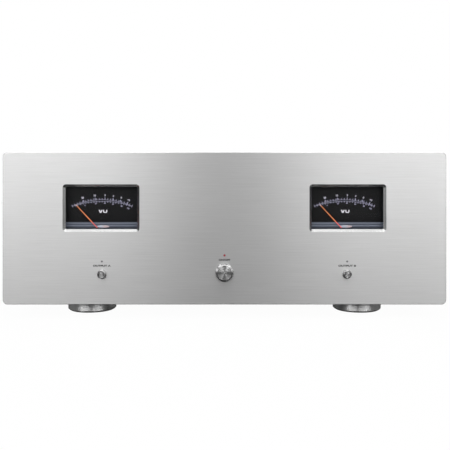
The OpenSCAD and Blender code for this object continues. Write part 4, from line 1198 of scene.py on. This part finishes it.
class AMPLIFIER_OT_movements(bpy.types.Operator):
    """Lacquers the needles and dresses the coils and magnets behind them."""

    bl_idname = "amplifier.movements"
    bl_label = "Meter movements"

    def execute(self, context):
        for side in SIDES:
            dress(needle_lacquer(side), f"meter_needle_{side}")
            dress(plated("enamelled_copper"), f"meter_coil_{side}")
            dress(plated("bare_magnet_steel"), f"meter_magnet_{side}")
        return {"FINISHED"}


# How far a button's cap reaches behind the panel's face, and the stems' radii, in mm
BUTTON_DEPTH = 6
POWER_STEM = 3.0
SPEAKER_STEM = 1.5
# The power button's crown: shares of the rim's radius and of the crown's fall
CROWN = ((0, 0), (0.35, 0.12), (0.7, 0.49), (1, 1))
# The line turned round the power button: how far it goes in and opens, as shares of its depth
LINE_IN = 1.6
LINE_OPEN = 0.4
# A speaker button: its lip as a share of its bevel, and a ring on its face as a share of the face's radius
LIP_SHARE = 0.25
FACE_RING = 0.6


def power_profile(radius, proud, depth, stem_radius, stem_end):
    """Section of the power button from its middle to its stem's end, along Y from the panel's face."""
    given = sizes()
    bevel, groove, crown = given.button_bevel, given.button_groove, given.button_crown
    rim = radius - bevel
    return (
        *((rim * out, crown * fall - proud) for out, fall in CROWN),
        (radius - groove, bevel - groove - proud), (radius - LINE_IN * groove, bevel - proud),
        (radius, bevel + LINE_OPEN * groove - proud), (radius, depth),
        (stem_radius, depth), (stem_radius, stem_end), (0, stem_end),
    )


def speaker_profile(radius, proud, depth, stem_radius, stem_end):
    """Section of a speaker button: a thin rim, a deep groove and a flat face inside it."""
    given = sizes()
    bevel, sunk = given.small_bevel, given.small_sunk
    rim = radius - bevel
    lip = rim - bevel * LIP_SHARE
    face = lip - given.small_groove
    return (
        (0, -proud), (face * FACE_RING, -proud), (face, -proud), (face, sunk - proud),
        (lip, sunk - proud), (lip, -proud), (rim, -proud), (radius, bevel - proud), (radius, depth),
        (stem_radius, depth), (stem_radius, stem_end), (0, stem_end),
    )


class AMPLIFIER_OT_buttons(bpy.types.Operator):
    """Turns the power button and the two speaker buttons."""

    bl_idname = "amplifier.buttons"
    bl_label = "Buttons"

    def execute(self, context):
        for node, section, stem in (
            ("power_button", power_profile, POWER_STEM),
            ("speaker_a_button", speaker_profile, SPEAKER_STEM),
            ("speaker_b_button", speaker_profile, SPEAKER_STEM),
        ):
            low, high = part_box(node)
            radius = (high.x - low.x) / 2
            profile = section(radius, FRONT - low.y, BUTTON_DEPTH * MM, stem * MM, high.y - FRONT)
            centre = middle(node)
            centre.y = FRONT
            work = moved(turned(profile), Matrix.Translation(centre))
            finish = lathed("turned_aluminium")
            new_piece(f"turned_{node}", work, finish, body=node, replaces=node)
        dress(grained("moulded_switch_body"), "power_switch", "speaker_switches")
        return {"FINISHED"}


class AMPLIFIER_OT_lights(bpy.types.Operator):
    """Dresses the light guides and their board."""

    bl_idname = "amplifier.lights"
    bl_label = "Lights"

    def execute(self, context):
        dress(grained("clear_red_lens"), "power_light")
        dress(grained("smoked_lens"), "speaker_lights")
        dress(circuit_board_laminate(), "control_board")
        return {"FINISHED"}


# A foot's radius, its lower edge's bevel and its screw hole's radius, in mm
FOOT_RADIUS = 24.5
FOOT_EDGE = 1.2
FOOT_HOLE = 3.1


class AMPLIFIER_OT_feet(bpy.types.Operator):
    """Turns the four feet and dresses their rubber pads."""

    bl_idname = "amplifier.feet"
    bl_label = "Feet"

    def execute(self, context):
        low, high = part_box("feet")
        radius, edge, hole = FOOT_RADIUS * MM, FOOT_EDGE * MM, FOOT_HOLE * MM
        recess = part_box("chassis_screws")[0].z - low.z
        tall = high.z - low.z
        profile = (
            (0, recess), (hole, recess), (hole, 0), (radius - edge, 0), (radius, edge),
            (radius, tall / 2), (radius, tall), (0, tall),
        )
        feet = []
        for x in (low.x + radius, high.x - radius):
            for y in (low.y + radius, high.y - radius):
                place = Matrix.Translation((x, y, low.z)) @ Matrix.Rotation(math.pi / 2, 4, "X")
                feet.append(moved(turned(profile), place))
        finish = lathed("polished_foot_aluminium")
        new_piece("turned_feet", joined(feet), finish, replaces="feet")
        dress(grained("moulded_rubber"), "foot_pads")
        return {"FINISHED"}


# How far out of a heat sink's base its fins are read, and how far they reach into the base, in mm
FIN_READING = 5
FIN_OVERLAP = 1
# Bearings of the points on a fin's round tip, in degrees
TIP_BEARINGS = range(-90, 91, 30)


def fin_places(node, base):
    """Middles of a heat sink's fins along Y, and their thickness, read from its mesh."""
    points = [vert.co for vert in frame["nodes"][node].data.vertices]
    edges = sorted({round(point.y, 5) for point in points if abs(point.x) > base + FIN_READING * MM})
    return [(a + b) / 2 for a, b in zip(edges[::2], edges[1::2])], edges[1] - edges[0]


def make_heat_sink(side):
    """A heat sink: a base plate and a row of tapered fins with round tips."""
    node = f"heatsink_{side}"
    out = -1 if side == "left" else 1
    low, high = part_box(node)
    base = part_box("chassis_tray")[1].x
    inner, tip = sorted((abs(low.x), abs(high.x)))
    places, thick = fin_places(node, base)
    root, end, inside = thick / 2, sizes().fin_tip / 2, base - FIN_OVERLAP * MM
    bearings = [math.radians(degrees) for degrees in TIP_BEARINGS]
    outline = [
        (inside, -root), (base, -root),
        *((tip - end + end * math.cos(a), end * math.sin(a)) for a in bearings),
        (base, root), (inside, root),
    ]
    fin = new_object("fin", lofted([[(out * x, y, z) for x, y in outline] for z in (low.z, high.z)]))
    finish = black_anodised_extrusion()
    step = (places[-1] - places[0]) / (len(places) - 1)
    whole = grown(fin_row_tree(), {
        "Fin": fin, "Count": len(places), "First": (0, places[0], 0), "Step": (0, step, 0),
        "Finish": finish,
    })
    bpy.data.objects.remove(fin)
    plate = bmesh.ops.create_cube(whole, size=1)["verts"]
    size = Vector((base - inner, high.y - low.y, high.z - low.z))
    centre = Vector((out * (base + inner) / 2, (low.y + high.y) / 2, (low.z + high.z) / 2))
    bmesh.ops.scale(whole, vec=size, verts=plate)
    bmesh.ops.translate(whole, vec=centre, verts=plate)
    new_piece(f"finned_sink_{side}", whole, finish, replaces=node)


class AMPLIFIER_OT_heat_sinks(bpy.types.Operator):
    """Makes the two finned heat sinks."""

    bl_idname = "amplifier.heat_sinks"
    bl_label = "Heat sinks"

    def execute(self, context):
        for side in SIDES:
            make_heat_sink(side)
        return {"FINISHED"}


class AMPLIFIER_OT_case(bpy.types.Operator):
    """Rounds and coats the cover, the rear panel and the tray, and plates the screws."""

    bl_idname = "amplifier.case"
    bl_label = "Case"

    def execute(self, context):
        for node, name, slot in (
            ("top_cover", "coated_cover", "black_steel"),
            ("rear_panel", "coated_rear_panel", "black_steel"),
            ("chassis_tray", "coated_tray", "chassis_steel"),
        ):
            work = eased_copy(node, sizes().edge_ease)
            new_piece(name, work, black_powder_coat(), replaces=node, sharp=EASED_SHARP)
        dress(plated("zinc_plated_steel"), "chassis_screws", "fascia_screws")
        dress(grained("black_oxide_steel"), "cover_screws")
        return {"FINISHED"}


# The transformer's tape: turns, their crown, the core's hole and the rounding of its shoulders, in mm
TAPE_TURNS = 72
TAPE_CROWN = 0.5
CORE_HOLE = 40
CORE_ROUND = 9
# Rows of points across a turn: place as a share of its width, and how far it lies under the crown in mm
TAPE_ROWS = ((-0.5, TAPE_CROWN), (-0.2, 0.0), (0.2, 0.0), (0.5, TAPE_CROWN))
# Corners of the core's section, as signs outwards and upwards, and steps round each corner
CORE_CORNERS = ((1, 1), (-1, 1), (-1, -1), (1, -1))
CORNER_STEPS = 4


def make_winding():
    """The transformer as a ring of crowned turns of tape."""
    low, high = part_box("transformer")
    outer, inner = (high.x - low.x) / 2, CORE_HOLE / 2 * MM
    ease = CORE_ROUND * MM
    across, up = (outer - inner) / 2 - ease, (high.z - low.z) / 2 - ease
    rows = []
    for step, inset in TAPE_ROWS:
        spin = Matrix.Rotation(step * 2 * math.pi / TAPE_TURNS, 3, "Z")
        bend = ease - inset * MM
        row = []
        for corner, (sign_x, sign_z) in enumerate(CORE_CORNERS):
            for part in range(CORNER_STEPS + 1):
                a = math.pi / 2 * (corner + part / CORNER_STEPS)
                x = (outer + inner) / 2 + sign_x * across + bend * math.cos(a)
                row.append(spin @ Vector((x, 0, sign_z * up + bend * math.sin(a))))
        rows.append(row)
    turn = new_object("turn", lofted(rows))
    finish = grained("polyester_winding_tape")
    ring = grown(winding_tree(), {
        "Turn": turn, "Count": TAPE_TURNS, "Centre": (low + high) / 2, "Finish": finish,
    })
    bpy.data.objects.remove(turn)
    new_piece("taped_transformer", ring, finish, replaces="transformer")


class AMPLIFIER_OT_supply(bpy.types.Operator):
    """Winds the transformer and dresses the capacitors and the boards inside."""

    bl_idname = "amplifier.supply"
    bl_label = "Power supply and boards"

    def execute(self, context):
        make_winding()
        dress(grained("moulded_rubber"), "transformer_pads")
        dress(plated("zinc_plated_steel"), "transformer_clamp")
        dress(grained("shrunk_sleeve"), "filter_capacitors")
        dress(circuit_board_laminate(), "supply_board", "amp_boards", "tube_board")
        dress(grained("moulded_epoxy"), "bridge_rectifiers", "output_transistors", "speaker_relays")
        dress(plated("bare_brass"), "board_standoffs")
        return {"FINISHED"}


class AMPLIFIER_OT_tubes(bpy.types.Operator):
    """Dresses the tubes and their sockets."""

    bl_idname = "amplifier.tubes"
    bl_label = "Tubes"

    def execute(self, context):
        dress(clear_tube_glass(), "tubes")
        dress(grained("glazed_ceramic"), "tube_sockets")
        return {"FINISHED"}


# Terminal caps: pole, slot, sign above it and the sign's height as a share of the rear print's
CAP_POLES = (("plus", "cap_red", "+", 1.0), ("minus", "cap_black", "–", 0.25))
# Rounding of a cap's edges, as a share of the others
CAP_EASE = 0.6
# An input socket's insulator: hole and outer radius, thickness and distance inside its shell's end, in mm
INSULATOR = (1.75, 3.3, 1.1, 0.35)
INSULATOR_STEPS = 48
# Rear print in mm: words above a socket and below a terminal's base, signs above a cap, width of a letter
WORD_RISE = 13.0
WORD_DROP = 5.0
SIGN_RISE = 7.5
LETTER_PITCH = 2.6


def socket_places():
    """Middles of the input sockets' outer ends, left then right."""
    low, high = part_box("input_sockets")
    flange = (high.z - low.z) / 2
    return [Vector((x, high.y, low.z + flange)) for x in (low.x + flange, high.x - flange)]


def make_insulators():
    """The insulators in the input sockets: pale for the left channel, red for the right."""
    hole, outer, thick, inset = (size * MM for size in INSULATOR)
    ring = ((hole, -inset), (outer, -inset), (outer, -inset - thick), (hole, -inset - thick))
    for side, place in zip(SIDES, socket_places()):
        work = moved(turned(ring, INSULATOR_STEPS), Matrix.Translation(place))
        new_piece(f"socket_insulator_{side}", work, grained(f"moulded_insulator_{side}"))


def rear_words():
    """Plain words beside the sockets, the terminals and the inlet."""
    notes = []
    for side, place in zip(SIDES, socket_places()):
        notes.append((f"INPUT {side[0].upper()}", place.x, place.z + WORD_RISE * MM))
    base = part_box("terminal_bases")[0].z
    for side in SIDES:
        for pair in "ab":
            across = (middle(f"cap_{side}_{pair}_plus").x + middle(f"cap_{side}_{pair}_minus").x) / 2
            notes.append((f"OUTPUT {pair.upper()} {side[0].upper()}", across, base - WORD_DROP * MM))
    notes.append(("MAINS", 0.0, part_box("mains_inlet")[0].z - WORD_DROP * MM))
    words = []
    for text, x, z in notes:
        place = upright(Vector((x, REAR, z)), rear=True)
        width = len(text) * LETTER_PITCH * MM
        words.append(lettering(text, sizes().rear_height, place, width, REAR_WEIGHT))
    return words


def make_caps():
    """The eight fluted terminal caps. Gives the signs printed above them."""
    given = sizes()
    signs = []
    for side in SIDES:
        for pair in "ab":
            for pole, slot, sign, share in CAP_POLES:
                node = f"cap_{side}_{pair}_{pole}"
                new_piece(
                    f"fluted_{node}", eased_copy(node, given.edge_ease * CAP_EASE),
                    grained(f"tinted_cap_{pole}"), body=node, replaces=node, sharp=EASED_SHARP,
                )
                low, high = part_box(node)
                place = Vector(((low.x + high.x) / 2, REAR, high.z + SIGN_RISE * MM))
                tall = given.rear_height * share
                signs.append(lettering(sign, tall, upright(place, rear=True), given.rear_height))
    return signs


class AMPLIFIER_OT_connections(bpy.types.Operator):
    """Makes the terminals, the sockets and the mains inlet, with their print."""

    bl_idname = "amplifier.connections"
    bl_label = "Rear connections"

    def execute(self, context):
        for node, name, body in (
            ("mains_inlet", "moulded_inlet", CHASSIS),
            ("fuse_drawer", "moulded_fuse_drawer", "fuse_drawer"),
            ("terminal_bases", "moulded_terminal_bases", CHASSIS),
        ):
            work = eased_copy(node, sizes().edge_ease)
            finish = grained("moulded_inlet_plastic")
            new_piece(name, work, finish, body=body, replaces=node, sharp=EASED_SHARP)
        dress(plated("nickel_plate"), "mains_pins")
        dress(plated("gold_plate"), "terminal_posts", "input_sockets")
        make_insulators()
        words = rear_words() + make_caps()
        new_piece("rear_print", joined(words), printed_ink("rear_ink"))
        return {"FINISHED"}


class AMPLIFIER_PT_panel(bpy.types.Panel):
    """Lists the steps that dress the amplifier, its sizes and its colours."""

    bl_idname = "AMPLIFIER_PT_panel"
    bl_label = "Hybrid power amplifier"
    bl_space_type = "VIEW_3D"
    bl_region_type = "UI"
    bl_category = "Amplifier"

    def draw(self, context):
        for step in STEPS:
            self.layout.operator(step.bl_idname)
        for group in (context.scene.amplifier_sizes, context.scene.amplifier_colours):
            box = self.layout.box()
            for name in group.__annotations__:
                box.prop(group, name)


STEPS = (
    AMPLIFIER_OT_stage,
    AMPLIFIER_OT_fascia,
    AMPLIFIER_OT_meters,
    AMPLIFIER_OT_movements,
    AMPLIFIER_OT_buttons,
    AMPLIFIER_OT_lights,
    AMPLIFIER_OT_feet,
    AMPLIFIER_OT_heat_sinks,
    AMPLIFIER_OT_case,
    AMPLIFIER_OT_supply,
    AMPLIFIER_OT_tubes,
    AMPLIFIER_OT_connections,
)
CLASSES = (AmplifierSizes, AmplifierColours, *STEPS, AMPLIFIER_PT_panel)


def register():
    for item in CLASSES:
        bpy.utils.register_class(item)
    bpy.types.Scene.amplifier_sizes = PointerProperty(type=AmplifierSizes)
    bpy.types.Scene.amplifier_colours = PointerProperty(type=AmplifierColours)


def unregister():
    del bpy.types.Scene.amplifier_colours
    del bpy.types.Scene.amplifier_sizes
    for item in reversed(CLASSES):
        bpy.utils.unregister_class(item)


def main():
    register()
    bpy.ops.amplifier.stage()
    bpy.ops.amplifier.fascia()
    bpy.ops.amplifier.meters()
    bpy.ops.amplifier.movements()
    bpy.ops.amplifier.buttons()
    bpy.ops.amplifier.lights()
    bpy.ops.amplifier.feet()
    bpy.ops.amplifier.heat_sinks()
    bpy.ops.amplifier.case()
    bpy.ops.amplifier.supply()
    bpy.ops.amplifier.tubes()
    bpy.ops.amplifier.connections()


if __name__ == "__main__":
    main()
